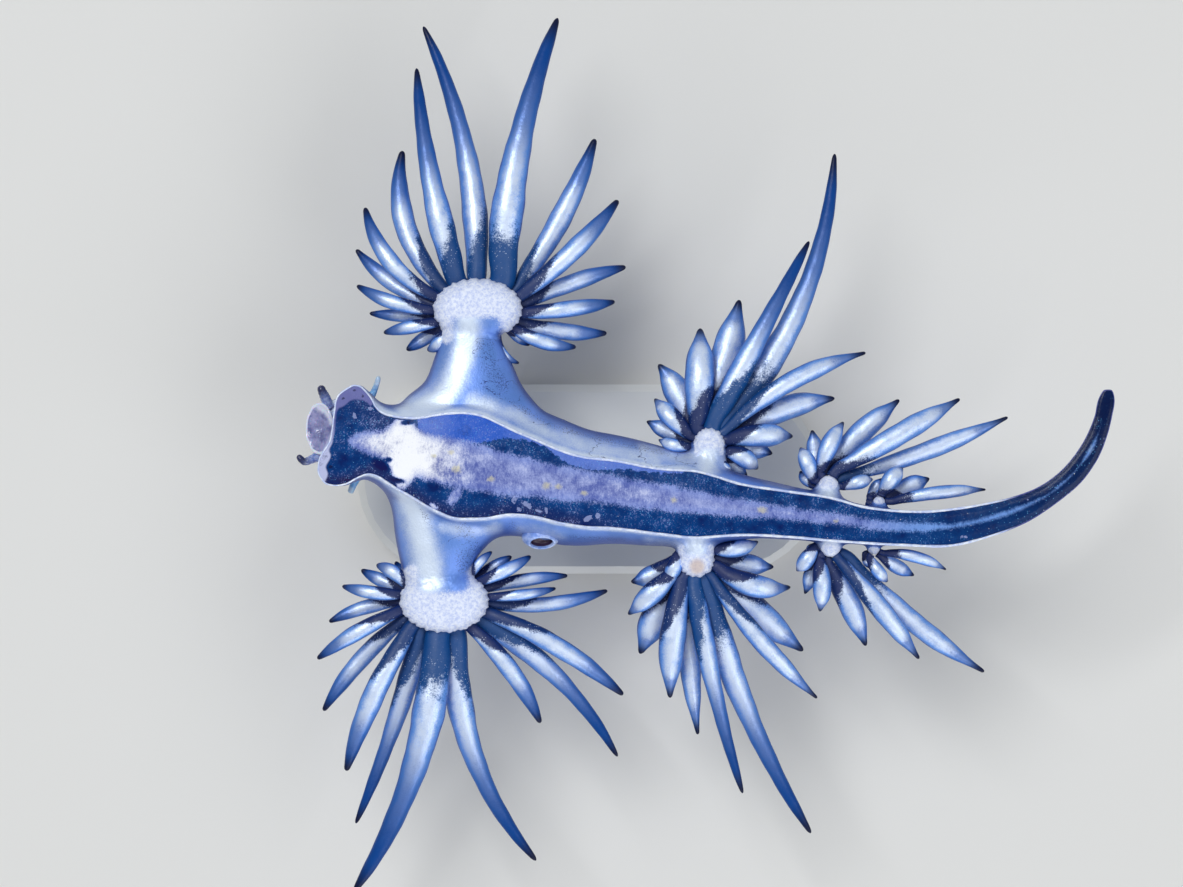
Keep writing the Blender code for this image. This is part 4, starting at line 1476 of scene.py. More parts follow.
def fans() -> list[Fan]:
    """The eight fans of the animal.

    Returns:
        The fans, from the front to the tail.
    """
    return [
        Fan(
            "fan_front_left", "cerata_front_left", (-5.2, 7.9, -2.0), (2.06, 1.42, 1.15),
            CerasForm.FINGER, 0.27, 11, cerata_rows([
                (217, 266, 0.7, 0.0, 0.32), (214, 226, 1.3, 0.13, 0.60), (206, 213, 2.0, 0.0, 0.62),
                (198, 191, 2.6, 0.0, 0.60), (190, 177, 3.1, 0.01, 0.56), (182, 162, 3.8, 0.06, 0.64),
                (174, 145, 4.5, 0.07, 0.69), (164, 129, 5.4, 0.12, 0.76), (150, 107, 6.8, 0.13, 0.94),
                (127, 101, 10.2, 0.03, 1.20), (92, 102, 12.1, -0.06, 1.18), (48, 78, 12.7, 0.04, 1.52),
                (26, 62, 8.1, -0.04, 0.95), (17, 44, 6.5, -0.04, 0.85), (6, 20, 5.2, 0.03, 0.76),
                (-5, 7, 4.4, -0.02, 0.72), (-18, -7, 4.2, -0.04, 0.74), (-28, -17, 3.1, -0.07, 0.64),
                (-35, -34, 1.2, 0.0, 0.45), (-51, -54, 1.6, -0.20, 0.37), (-55, -92, 1.1, -0.07, 0.32),
            ]),
        ),
        Fan(
            "fan_front_right", "cerata_front_right", (-6.75, -5.6, -2.0), (2.06, 1.46, 1.15),
            CerasForm.FINGER, 0.30, 12, cerata_rows([
                (156, 119, 1.2, 0.0, 0.45), (158, 146, 1.7, -0.10, 0.62), (163, 157, 2.2, 0.04, 0.60),
                (172, 172, 2.8, 0.03, 0.60), (181, 196, 3.5, -0.05, 0.62), (192, 210, 4.6, -0.03, 0.70),
                (204, 228, 5.9, -0.05, 0.76), (217, 245, 7.6, -0.04, 0.94), (231, 251, 9.7, 0.02, 1.0),
                (259, 252, 12.8, 0.07, 1.52), (291, 289, 11.4, -0.10, 1.26), (315, 306, 5.6, 0.06, 0.80),
                (332, 315, 9.1, 0.07, 1.04), (344, 329, 7.5, 0.05, 0.84), (356, 366, 5.6, -0.06, 0.66),
                (365, 367, 3.2, -0.03, 0.48), (376, 369, 3.9, 0.03, 0.58), (389, 386, 2.7, -0.03, 0.60),
                (396, 391, 2.0, 0.0, 0.55), (402, 410, 1.5, 0.07, 0.42), (407, 437, 1.0, 0.03, 0.37),
                (411, 457, 0.7, 0.0, 0.32),
            ]),
        ),
        Fan(
            "fan_mid_left", "cerata_mid_left", (5.5, 1.75, -1.5), (0.92, 0.88, 0.80),
            CerasForm.LEAF, 0.33, 13, cerata_rows([
                (208, 195, 0.9, 0.0, 0.40), (195, 167, 1.5, 0.06, 0.48), (180, 154, 2.2, 0.0, 0.62),
                (162, 134, 2.4, 0.02, 0.72), (147, 117, 3.5, -0.06, 0.98), (130, 88, 4.6, -0.01, 1.10),
                (105, 74, 6.0, -0.02, 1.16), (79, 62, 9.6, 0.0, 1.10), (55, 67, 13.8, -0.09, 1.24),
                (35, 29, 7.5, 0.07, 0.70), (20, 19, 5.3, 0.06, 0.92), (6, 3, 3.0, 0.05, 0.87),
                (-9, -11, 2.1, 0.03, 0.76), (-29, -29, 1.7, 0.08, 0.70), (-47, -38, 1.5, 0.01, 0.50),
                (-63, -45, 0.9, -0.07, 0.42),
            ]),
        ),
        Fan(
            "fan_mid_right", "cerata_mid_right", (4.9, -3.75, -1.5), (0.98, 0.90, 0.80),
            CerasForm.LEAF, 0.35, 14, cerata_rows([
                (137, 166, 1.4, -0.09, 0.36), (160, 250, 1.3, 0.06, 0.60), (176, 207, 2.3, 0.08, 0.78),
                (203, 223, 3.1, 0.01, 0.78), (216, 244, 4.2, -0.02, 1.10), (229, 264, 5.7, -0.03, 0.96),
                (243, 274, 7.3, -0.02, 0.74), (263, 283, 10.2, -0.02, 0.98), (292, 293, 12.9, -0.04, 1.24),
                (315, 311, 7.6, -0.03, 0.68), (332, 318, 5.6, -0.02, 1.06), (346, 344, 3.6, -0.11, 0.84),
                (368, 351, 2.7, -0.03, 0.76), (400, 368, 2.2, -0.08, 0.64),
            ]),
        ),
        Fan(
            "fan_rear_left", "cerata_rear_left", (11.0, -0.15, -1.1), (0.75, 0.62, 0.60),
            CerasForm.LEAF, 0.20, 15, cerata_rows([
                (191, 130, 0.9, 0.05, 0.42), (168, 111, 1.6, -0.02, 0.64), (149, 94, 2.1, -0.04, 0.64),
                (131, 64, 2.6, 0.05, 0.68), (108, 43, 4.8, 0.02, 0.82), (60, 30, 6.7, 0.0, 0.80),
                (20, 20, 8.2, -0.02, 0.68), (-13, 14, 1.4, 0.03, 0.52),
            ]),
        ),
        Fan(
            "fan_rear_right", "cerata_rear_right", (11.1, -3.2, -1.1), (0.75, 0.62, 0.60),
            CerasForm.LEAF, 0.30, 16, cerata_rows([
                (164, 221, 0.5, 0.0, 0.32), (171, 233, 1.4, 0.03, 0.60), (190, 257, 2.0, 0.04, 0.56),
                (214, 272, 2.5, 0.05, 0.70), (256, 295, 4.3, 0.03, 0.84), (310, 309, 5.9, 0.01, 0.74),
                (340, 320, 8.5, -0.04, 0.76),
            ]),
        ),
        Fan(
            "fan_last_left", "cerata_last_left", (13.35, -0.95, -1.1), (0.50, 0.38, 0.42),
            CerasForm.LEAF, 0.24, 17, cerata_rows([
                (167, 56, 1.1, 0.0, 0.42), (70, 50, 1.5, 0.06, 0.66), (25, 23, 2.1, 0.01, 0.72),
                (-6, 7, 4.5, 0.03, 0.50), (197, 7, 1.1, 0.20, 0.66),
            ]),
        ),
        Fan(
            "fan_last_right", "cerata_last_right", (13.1, -3.25, -1.1), (0.50, 0.38, 0.42),
            CerasForm.LEAF, 0.24, 18, cerata_rows([
                (200, 288, 0.7, 0.02, 0.32), (240, 307, 1.4, -0.05, 0.50), (-40, -30, 1.8, -0.02, 0.52),
                (-15, -15, 3.0, 0.07, 0.44),
            ]),
        ),
    ]


# ---- Body


@dataclass
class Body:
    """Skin of the flanks, back, head, arms and pads, grown together as one surface."""

    foot: Foot
    fans: list[Fan]
    voxel: float = 0.09
    trunk_stations: int = 210
    trunk_sides: int = 64
    arm_stations: int = 60
    arm_sides: int = 48
    # x, how far the flank stands out past the foot to the left and right, depth from sole to back
    flanks: list[tuple[float, float, float, float]] = field(default_factory=lambda: [
        (-12.3, -0.02, -0.02, 0.45), (-11.6, 0.0, 0.0, 1.3), (-11.0, 0.10, 0.0, 2.2), (-9.9, 0.50, 0.24, 3.2),
        (-8.7, 0.82, 0.54, 4.0), (-6.4, 0.85, 0.65, 4.8), (-4.1, 1.15, 1.0, 5.0), (-1.4, 1.54, 1.04, 4.8),
        (0.5, 1.25, 0.80, 4.4), (2.8, 1.13, 0.63, 4.0), (5.1, 0.75, 0.45, 3.5), (7.4, 0.48, 0.18, 2.9),
        (9.7, 0.26, 0.14, 2.4), (12.0, 0.13, 0.11, 2.0), (14.3, 0.06, 0.06, 1.7), (16.6, 0.02, 0.02, 1.5),
        (18.9, 0.0, 0.0, 1.4), (20.9, 0.0, 0.0, 1.25), (22.0, 0.0, 0.0, 1.1), (23.9, 0.0, 0.0, 0.5),
    ])
    # y, front edge x, rear edge x, top and bottom below the sole
    left_arm: list[tuple[float, float, float, float, float]] = field(default_factory=lambda: [
        (1.6, -9.0, -1.6, -0.60, -4.2), (3.0, -8.9, -2.0, -0.50, -4.0), (3.8, -8.6, -2.7, -0.55, -3.9),
        (4.5, -7.7, -3.2, -0.70, -3.8), (5.2, -7.4, -3.5, -0.85, -3.6), (6.0, -7.1, -3.9, -0.95, -3.4),
        (6.8, -6.9, -4.2, -1.00, -3.2), (7.6, -6.9, -3.9, -1.05, -3.1),
    ])
    right_arm: list[tuple[float, float, float, float, float]] = field(default_factory=lambda: [
        (-5.4, -8.4, -5.2, -1.05, -3.1), (-4.6, -8.6, -5.5, -1.00, -3.2), (-3.8, -8.8, -5.3, -0.90, -3.5),
        (-3.0, -9.0, -4.7, -0.75, -3.8), (-2.4, -9.1, -4.0, -0.65, -3.9), (-1.4, -9.2, -2.9, -0.55, -4.0),
        (-0.4, -9.6, -2.2, -0.60, -4.2),
    ])
    # Where the belly settles on the stand's rods
    seats: tuple[Point3, ...] = ((-5.0, 0.53, -4.82), (4.6, -1.05, -3.46))
    seat_radii: Point3 = (1.15, 1.15, 0.6)
    snout: tuple[Point3, Point3, float] = ((-11.74, 2.36, -1.72), (0.92, 1.46, 0.80), -14.0)
    pore: tuple[Point3, Point3] = ((-2.2, -2.50, -1.85), (0.75, 0.40, 0.60))
    # Painted sheen, which stands for pale highlights of light on the skin, and dusky patches of the skin:
    # their lines in plan and their reach
    painted_sheens: list[tuple[list[Point2], float, float]] = field(default_factory=lambda: [
        ([(-5.6, 7.4), (-5.8, 6.2), (-6.2, 4.8), (-6.9, 3.7), (-8.4, 3.15)], 0.65, 0.95),
        ([(-5.4, 3.6), (-3.6, 3.0), (-2.0, 2.2), (0.4, 1.4), (3.0, 0.9)], 0.50, 0.60),
        ([(-8.8, 0.4), (-8.0, -1.6), (-7.6, -3.2), (-7.4, -4.8)], 0.75, 0.95),
        ([(-6.8, -2.2), (-5.4, -2.4), (-4.4, -2.2)], 0.40, 0.50),
        ([(-12.2, 3.5), (-11.5, 3.7)], 0.60, 1.00),
        ([(-12.5, 1.3), (-11.9, 1.0)], 0.40, 0.55),
        ([(-3.2, -2.3), (-1.4, -2.6)], 0.45, 0.40),
        ([(2.8, -2.95), (6.0, -3.2)], 0.5, 0.5),
        ([(2.5, 1.3), (6.0, 0.9), (9.0, 0.1)], 0.5, 0.6),
        ([(5.5, 1.4), (5.4, 0.6)], 0.7, 0.9),
        ([(4.9, -3.4), (4.9, -2.9)], 0.7, 0.9),
        ([(11.0, -0.4), (11.0, -0.9)], 0.6, 0.8),
        ([(11.1, -3.2), (11.1, -2.9)], 0.6, 0.8),
    ])
    dusks: list[tuple[list[Point2], float]] = field(default_factory=lambda: [
        ([(-4.9, 6.1), (-4.6, 5.0), (-4.0, 4.4)], 0.95),
        ([(-5.7, -2.3), (-5.4, -3.1), (-5.9, -3.9)], 1.0),
        ([(-3.6, -2.1), (-3.3, -2.4)], 0.5),
        ([(-8.0, -0.9), (-7.3, -2.2)], 0.35),
        ([(-5.0, 4.4), (-1.6, 2.4), (3.6, 1.2)], 0.35),
        ([(-1.0, -2.6), (4.0, -3.0)], 0.25),
    ])
    # Where the front arms meet the trunk
    shoulders: list[list[Point2]] = field(default_factory=lambda: [
        [(-8.9, 3.3), (-7.6, 4.6)], [(-4.2, 4.4), (-1.2, 2.5)],
        [(-9.2, -1.0), (-8.9, -2.6)], [(-5.2, -3.2), (-3.4, -2.5)],
    ])
    tan_spot: Point2 = (4.95, -4.0)
    # Where the skin is cracked
    crack_zones: list[tuple[list[Point2], float]] = field(default_factory=lambda: [
        ([(-4.6, 5.9), (-4.1, 4.6), (-2.6, 3.2), (0.6, 1.75), (4.2, 1.1)], 1.3),
        ([(-6.9, 3.7), (-6.2, 3.6)], 0.5),
        ([(-6.2, -2.4), (-5.6, -3.6)], 0.9),
    ])

    def build(self) -> None:
        """Builds the skin as one piece."""
        shapes = [
            self.trunk(), self.arm(self.left_arm), self.arm(self.right_arm), *self.pads(), *self.mid_arms(),
        ]
        centre, radii, turn = self.snout
        shapes.append(self.ball(centre, radii, turn))
        shapes.append(self.ball(self.pore[0], self.pore[1], 0.0))
        shapes.extend(self.ball(seat, self.seat_radii, 0.0, 0.8) for seat in self.seats)
        shape = self.grow_together(join_shapes(shapes))
        shape.marks = self.marks(shape)
        made = make_object("body_skin", shape, BodyFinish().material())
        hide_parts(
            "head", "trunk_front", "trunk_mid", "trunk_rear", "tail_base", "tail_mid", "tail_tip",
            "arm_front_left", "arm_front_right", *[fan.node for fan in self.fans],
        )

    def trunk(self) -> Shape:
        """Flanks and back from the head to the tip of the tail.

        Returns:
            The closed shape.
        """
        along = np.linspace(0.02, self.foot.length, self.trunk_stations)
        right, left = self.foot.edges(along)
        centre = (right + left) / 2
        half = np.linalg.norm(left - right, axis=1) / 2
        across = unit(left - right)
        table = np.array(self.flanks)
        bend = self.foot.along_x(np.array([r[0] for r in self.flanks]))
        bend[-1] = self.foot.length
        out_left, out_right, depth = smooth_curve(bend, table[:, 1:], along).T
        rings = []
        for k in range(len(along)):
            sides = []
            for out in (out_left[k], out_right[k]):
                foot, deep = half[k], depth[k]
                sides.append([
                    (max(foot - 0.25, 0.6 * foot), -0.12),
                    (foot - 0.03, -0.07),
                    (max(foot + 0.65 * out, 0.93 * foot), -0.18 * deep - 0.03),
                    (max(foot + out, 0.86 * foot), -0.45 * deep),
                    (0.86 * max(foot + out, 0.86 * foot), -0.75 * deep),
                    (0.50 * max(foot + out, 0.86 * foot), -0.94 * deep),
                ])
            profile = [(0.0, -0.12), *sides[0], (0.0, -deep), *[(-u, z) for u, z in reversed(sides[1])]]
            profile = np.array(profile)
            closed = np.vstack([profile, profile[:1]])
            places = np.linspace(0, len(profile), self.trunk_sides, endpoint=False)
            ring = smooth_curve(np.arange(len(closed)), closed, places)
            plan = centre[k] + ring[:, :1] * across[k]
            rings.append(np.column_stack([plan, SOLE_Z + ring[:, 1]]))
        return loft(np.array(rings)[:, ::-1])

    def arm(self, rows: list[tuple[float, float, float, float, float]]) -> Shape:
        """A front arm from inside the trunk to its pad.

        Args:
            rows: y, front x, rear x, top and bottom, by rising y.

        Returns:
            The closed shape.
        """
        y = np.linspace(rows[0][0], rows[-1][0], self.arm_stations)
        front, rear, top, bottom = read_table(rows, y).T
        angles = round_angles(self.arm_sides)
        u = np.sign(np.cos(angles)) * np.abs(np.cos(angles)) ** 0.85
        v = np.sign(np.sin(angles)) * np.abs(np.sin(angles)) ** 0.85
        x = ((front + rear) / 2)[:, None] + ((rear - front) / 2)[:, None] * u
        z = SOLE_Z + ((top + bottom) / 2)[:, None] + ((top - bottom) / 2)[:, None] * v
        return loft(np.dstack([x, np.repeat(y[:, None], self.arm_sides, axis=1), z]))

    def mid_arms(self) -> list[Shape]:
        """Short arms from the trunk to the middle, rear and last pads.

        Returns:
            One closed shape for each arm.
        """
        shapes = []
        for fan in self.fans[2:]:
            x, y, z = fan.pad
            share = fan.radii[1] / self.fans[2].radii[1]
            inner = y - fan.side * 2.2 * share
            path = (
                np.linspace(0, 1, 12)[:, None] * np.array([0.0, y - inner, 0.0])
                + np.array([x, inner, SOLE_Z + z])
            )
            angles = round_angles(32)
            ring = np.column_stack([
                np.cos(angles) * 0.85 * share, np.zeros(32), np.sin(angles) * 0.75 * share,
            ])
            shapes.append(loft(path[:, None] + ring[None]))
        return shapes

    def pads(self) -> list[Shape]:
        """The swollen end of each arm, flat on top.

        Returns:
            One closed shape for each fan.
        """
        shapes = []
        for fan in self.fans:
            shapes.append(self.ball(fan.pad, tuple(r * fan.swell for r in fan.radii), 0.0, 0.62))
        return shapes

    def ball(self, centre: Point3, radii: Point3, turn: float, power: float = 1.0) -> Shape:
        """An ellipsoid turned about Z.

        Args:
            centre: x, y and height below the sole.
            radii: half sizes.
            turn: turn in degrees.
            power: under 1 for a flatter top and a rounder rim.

        Returns:
            The closed shape.
        """
        rise = np.linspace(-1, 1, 40) * math.pi / 2 * 0.98
        angles = round_angles(48)
        wide = np.cos(rise)[:, None] ** power
        x = wide * np.cos(angles) * radii[0]
        y = wide * np.sin(angles) * radii[1]
        tall = np.sign(rise) * np.abs(np.sin(rise)) ** power
        z = np.repeat(tall[:, None], 48, axis=1) * radii[2]
        cos, sin = math.cos(math.radians(turn)), math.sin(math.radians(turn))
        plan = np.dstack([x * cos - y * sin, x * sin + y * cos, z])
        return loft(plan + below_sole(centre))

    def grow_together(self, shape: Shape) -> Shape:
        """Remeshes overlapping shapes as one surface and rounds where they meet.

        Args:
            shape: the overlapping closed shapes.

        Returns:
            One closed surface.
        """
        mesh = bpy.data.meshes.new("overlapping")
        mesh.from_pydata(shape.verts.tolist(), [], shape.faces)
        rough = bpy.data.objects.new("overlapping", mesh)
        bpy.context.scene.collection.objects.link(rough)
        remesh = rough.modifiers.new("skin", "REMESH")
        remesh.mode = "VOXEL"
        remesh.voxel_size = self.voxel
        bpy.context.view_layer.update()
        grown = bpy.data.meshes.new_from_object(rough.evaluated_get(bpy.context.evaluated_depsgraph_get()))
        verts = np.zeros(len(grown.vertices) * 3)
        grown.vertices.foreach_get("co", verts)
        verts = verts.reshape(-1, 3)
        edges = np.zeros(len(grown.edges) * 2, np.int64)
        grown.edges.foreach_get("vertices", edges)
        faces = [tuple(face.vertices) for face in grown.polygons]
        bpy.data.objects.remove(rough)
        bpy.data.meshes.remove(mesh)
        bpy.data.meshes.remove(grown)
        edges = edges.reshape(-1, 2)
        verts = self.relax(verts, edges, np.ones(len(verts)), 12, keep=True)
        verts = self.relax(verts, edges, self.crotches(verts), 70, keep=False)
        verts = self.relax(verts, edges, np.ones(len(verts)), 4, keep=True)
        return Shape(self.crumble(verts), faces)

    def relax(self, verts: Array, edges: Array, weights: Array, rounds: int, keep: bool) -> Array:
        """Smooths a surface by moving points towards the middle of their neighbours.

        Args:
            verts: the points.
            edges: pairs of neighbours.
            weights: share of the move for each point.
            rounds: how often.
            keep: true to push back after each round, so that the volume stays.

        Returns:
            The moved points.
        """
        both = np.concatenate([edges, edges[:, ::-1]])
        count = np.bincount(both[:, 0], minlength=len(verts))[:, None]
        for _ in range(rounds):
            for share in ((0.5, -0.52) if keep else (0.5,)):
                sums = [np.bincount(both[:, 0], verts[both[:, 1], axis], len(verts)) for axis in range(3)]
                middle = np.stack(sums, axis=1) / count
                verts = verts + share * weights[:, None] * (middle - verts)
        return verts

    def crotches(self, verts: Array) -> Array:
        """Weights that are high where the arms and the trunk meet.

        Args:
            verts: the points of the skin.

        Returns:
            A weight for each point.
        """
        near = np.full(len(verts), np.inf)
        for line in self.shoulders:
            near = np.minimum(near, distance_to_line(verts, line))
        for fan in self.fans[2:]:
            y = fan.pad[1] - 0.9 * fan.side
            near = np.minimum(
                near, distance_to_line(verts, [(fan.pad[0] - 1.1, y), (fan.pad[0] + 1.1, y)]) + 0.5,
            )
        return step(1.7, 0.3, near)

    def crumble(self, verts: Array) -> Array:
        """Gives the pads their lumpy rim.

        Args:
            verts: the points of the skin.

        Returns:
            The moved points.
        """
        moved = verts.copy()
        for fan in self.fans:
            rx, ry, rz = fan.radii
            off = verts - below_sole(fan.pad)
            reach = np.sqrt((off[:, 0] / rx) ** 2 + (off[:, 1] / ry) ** 2)
            turn = np.arctan2(off[:, 1] / ry, off[:, 0] / rx)
            lobes = len(fan.cerata)
            near = step(1.35, 0.9, reach) * step(0.5, 0.85, reach)
            size = 0.040 * min(1.0, rx)
            lumps = (
                np.sin(turn * lobes + 2 * np.sin(3 * turn))
                + 0.6 * np.sin(turn * lobes * 2.3 + 2 * np.sin(2 * turn))
            )
            moved[:, :2] += (near * size * lumps)[:, None] * unit(off[:, :2])
            top = step(1.15, 0.9, reach) * step(-0.2, 0.3, off[:, 2] / rz)
            nodes = (
                np.sin(off[:, 0] * 17 + 2 * np.sin(off[:, 1] * 5))
                * np.sin(off[:, 1] * 19 + 2 * np.sin(off[:, 0] * 6))
            )
            moved[:, 2] += 0.014 * top * nodes
        return moved

    def marks(self, shape: Shape) -> dict[str, Array]:
        """Values that place the markings of the skin.

        Args:
            shape: the skin.

        Returns:
            Named values on its points.
        """
        verts = shape.verts
        corners = verts[np.array([face[:4] if len(face) > 3 else (*face, face[-1]) for face in shape.faces])]
        normals = np.cross(corners[:, 2] - corners[:, 0], corners[:, 3] - corners[:, 1])
        up = np.zeros(len(verts))
        weight = np.zeros(len(verts))
        ids = np.array([face[:3] for face in shape.faces])
        for k in range(3):
            up += np.bincount(ids[:, k], normals[:, 2], len(verts))
            weight += np.bincount(ids[:, k], np.linalg.norm(normals, axis=1), len(verts))
        up = up / np.maximum(weight, 1e-12)
        facing = step(-0.1, 0.55, up)

        # Painted sheen: pale highlight bands along the given lines, on up-facing skin only
        sheen, dusk = np.zeros(len(verts)), np.zeros(len(verts))
        for line, reach, strength in self.painted_sheens:
            sheen = np.maximum(sheen, strength * np.exp(-((distance_to_line(verts, line) / reach) ** 2)))
        for line, reach in self.dusks:
            dusk = np.maximum(dusk, step(reach, 0.1 * reach, distance_to_line(verts, line)))
        cracks = np.zeros(len(verts))
        for line, reach in self.crack_zones:
            cracks = np.maximum(cracks, step(reach, 0.5 * reach, distance_to_line(verts, line)))
        # Painted sheen along the foot's edges: a pale highlight on the skin just outside the rim
        right, left = self.foot.edges(np.linspace(0, self.foot.length, 160))
        beside_left = np.exp(-((distance_to_line(verts, left.tolist()) / 0.28) ** 2))
        beside_right = np.exp(-((distance_to_line(verts, right.tolist()) / 0.14) ** 2))
        beside = np.maximum(beside_left, beside_right) * step(9.0, 2.0, verts[:, 0])
        pad = np.zeros(len(verts))
        for fan in self.fans:
            off = verts - below_sole(fan.pad)
            reach = np.hypot(off[:, 0] / fan.radii[0], off[:, 1] / fan.radii[1])
            inward = -off[:, 1] * fan.side
            sideways = np.abs(off[:, 0]) / fan.radii[0]
            notch = step(0.0, 0.55, inward / fan.radii[1]) * step(0.80, 0.35, sideways) * fan.swell
            lobes = 0.3 * step(0.2, 0.8, inward / fan.radii[1]) * step(0.40, 0.70, sideways)
            size = (1.06 + lobes) * fan.swell
            pad = np.maximum(pad, step(1.08, 0.90, reach / size) * (1 - notch) * step(-0.3, 0.1, up))
        tan = step(0.5, 0.2, np.hypot(*(verts[:, :2] - self.tan_spot).T))
        back = step(-0.25, -0.8, up)
        for x, y, z in self.seats:
            over = step(2.0, 1.4, np.hypot(verts[:, 0] - x, verts[:, 1] - y))
            back = np.maximum(back, over * step(SOLE_Z + z + 1.3, SOLE_Z + z + 0.7, verts[:, 2]))
        return {
            "sheen": np.maximum(sheen, 0.9 * beside) * facing,
            "dusk": dusk * facing,
            # Painted shade: 1 where the skin turns from facing up to steep or downward
            "shade": 1 - step(0.05, 0.9, up),
            "pad": pad,
            "back": back,
            "tan": tan,
            "crack": 0.58 * cracks * facing,
        }


# ---- Mouth, feelers and pore


def turned_cup(
    centre: Array,
    axis: Array,
    wide: Array,
    radii: Point2,
    profile: list[Point2],
    folds: float,
    sides: int,
) -> Array:
    """Rings of an oval cup turned from a profile.

    Args:
        centre: its middle.
        axis: direction it faces.
        wide: direction of its first radius.
        radii: half sizes across the axis.
        profile: share of the radii and height along the axis, in order.
        folds: depth of its radial folds.
        sides: points round it.

    Returns:
        Array of rings by points by 3.
    """
    axis, wide = unit(axis), unit(wide - axis * np.dot(wide, axis) / np.dot(axis, axis))
    tall = np.cross(axis, wide)
    angles = round_angles(sides)
    rings = []
    for share, height in profile:
        pleat = folds * share * (np.cos(9 * angles) + 0.5 * np.cos(14 * angles + 1.0))
        u = (np.cos(angles) * radii[0] * share * (1 + 0.3 * pleat))[:, None] * wide
        v = (np.sin(angles) * radii[1] * share * (1 + 0.3 * pleat))[:, None] * tall
        rings.append(centre + u + v + (height + pleat)[:, None] * axis)
    return np.array(rings)


@dataclass
class Mouth:
    """The spread lips in front of the head: a thin glassy cup with a pale edge and faint folds."""

    centre: Point3 = (-12.46, 2.36, -0.82)
    tilt: float = 30.0
    radii: Point2 = (0.74, 1.18)
    pale_side: float = 62.0
    stations: int = 60
    sides: int = 72
    profile: list[Point2] = field(default_factory=lambda: [
        (0.02, -0.22), (0.10, -0.19), (0.20, -0.13), (0.34, -0.08), (0.50, -0.05), (0.66, -0.04),
        (0.80, -0.02), (0.90, 0.02), (0.96, 0.055), (1.0, 0.045), (1.02, 0.0), (1.0, -0.06),
        (0.92, -0.16), (0.80, -0.32), (0.64, -0.50), (0.44, -0.66), (0.22, -0.78), (0.03, -0.82),
    ])

    def build(self) -> None:
        """Builds the cup."""
        turn = math.radians(self.tilt)
        axis = np.array([-math.sin(turn), 0.0, math.cos(turn)])
        centre = below_sole(self.centre)
        fine = fine_profile(self.profile, self.stations)
        rings = turned_cup(
            centre, axis, np.array([1.0, 0.0, 0.2]), self.radii, fine.tolist(), 0.018, self.sides,
        )
        angles = round_angles(self.sides)
        toward = step(0.2, 0.95, np.cos(angles - math.radians(self.pale_side)))
        edge = step(0.84, 0.95, fine[:, 0])[:, None] * np.ones(self.sides)
        tissue = step(0.35, 0.9, fine[:, 0])[:, None] * toward[None, :]
        shape = loft(rings, {"end": np.maximum(edge, 0.9 * tissue)})
        finish = PlainFinish(
            "mouth_skin", (164, 164, 208), (102, 106, 160), (226, 230, 250),
            size=0.5, roughness=0.25, subsurface=0.35,
        )
        made = make_object("oral_disc", shape, finish.material())
        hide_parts("head")


@dataclass
class Feeler:
    """An oral tentacle or a rhinophore: a short blunt finger along a bent line."""

    name: str
    path: list[Point3]  # x, y and height below the sole
    radii: list[float]
    finish: PlainFinish
    stations: int = 34
    sides: int = 24

    def build(self) -> None:
        """Builds the feeler."""
        t = np.linspace(0, 1, self.stations)
        knots = np.linspace(0, 1, len(self.path))
        line = smooth_curve(knots, below_sole(self.path), t)
        width = smooth_curve(np.linspace(0, 1, len(self.radii)), self.radii, t)
        width = width * np.sqrt(np.clip(1 - np.clip((t - 0.86) / 0.14, 0, 1) ** 2.4, 0.01, 1))
        width = width * (1 + 0.03 * np.sin(t * 40))
        shape = tube(line, width, self.sides)
        shape.marks["end"] = np.concatenate([np.repeat(t, self.sides), [0.0, 1.0]])
        made = make_object(self.name, shape, self.finish.material())
        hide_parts(self.name)


def feelers() -> list[Feeler]:
    """The four feelers of the head.

    Returns:
        The two oral tentacles and the two rhinophores.
    """
    glassy = PlainFinish(
        "tentacle_skin", (168, 182, 226), (92, 116, 186), (38, 44, 88),
        size=0.16, roughness=0.25, subsurface=0.2,
    )
    pale = PlainFinish(
        "rhinophore_skin", (126, 180, 226), (92, 152, 212), (172, 198, 222),
        size=0.2, subsurface=0.2,
    )
    return [
        Feeler(
            "oral_tentacle_left",
            [(-12.05, 3.35, -1.25), (-12.20, 3.75, -1.10), (-12.34, 4.05, -1.0), (-12.46, 4.36, -0.95)],
            [0.26, 0.24, 0.21, 0.16],
            glassy,
        ),
        Feeler(
            "oral_tentacle_right",
            [(-12.45, 1.15, -1.25), (-12.85, 0.95, -1.10), (-13.20, 0.85, -1.0), (-13.50, 1.14, -0.95)],
            [0.26, 0.20, 0.17, 0.14],
            glassy,
        ),
        Feeler(
            "rhinophore_left",
            [(-10.15, 3.85, -2.1), (-10.0, 4.1, -2.05), (-9.88, 4.42, -1.95), (-9.77, 4.80, -1.9)],
            [0.20, 0.15, 0.13, 0.115],
            pale,
        ),
        Feeler(
            "rhinophore_right",
            [(-10.85, 0.05, -2.2), (-10.95, -0.2, -2.2), (-11.04, -0.42, -2.25), (-11.12, -0.62, -2.3)],
            [0.22, 0.17, 0.155, 0.14],
            pale,
        ),
    ]


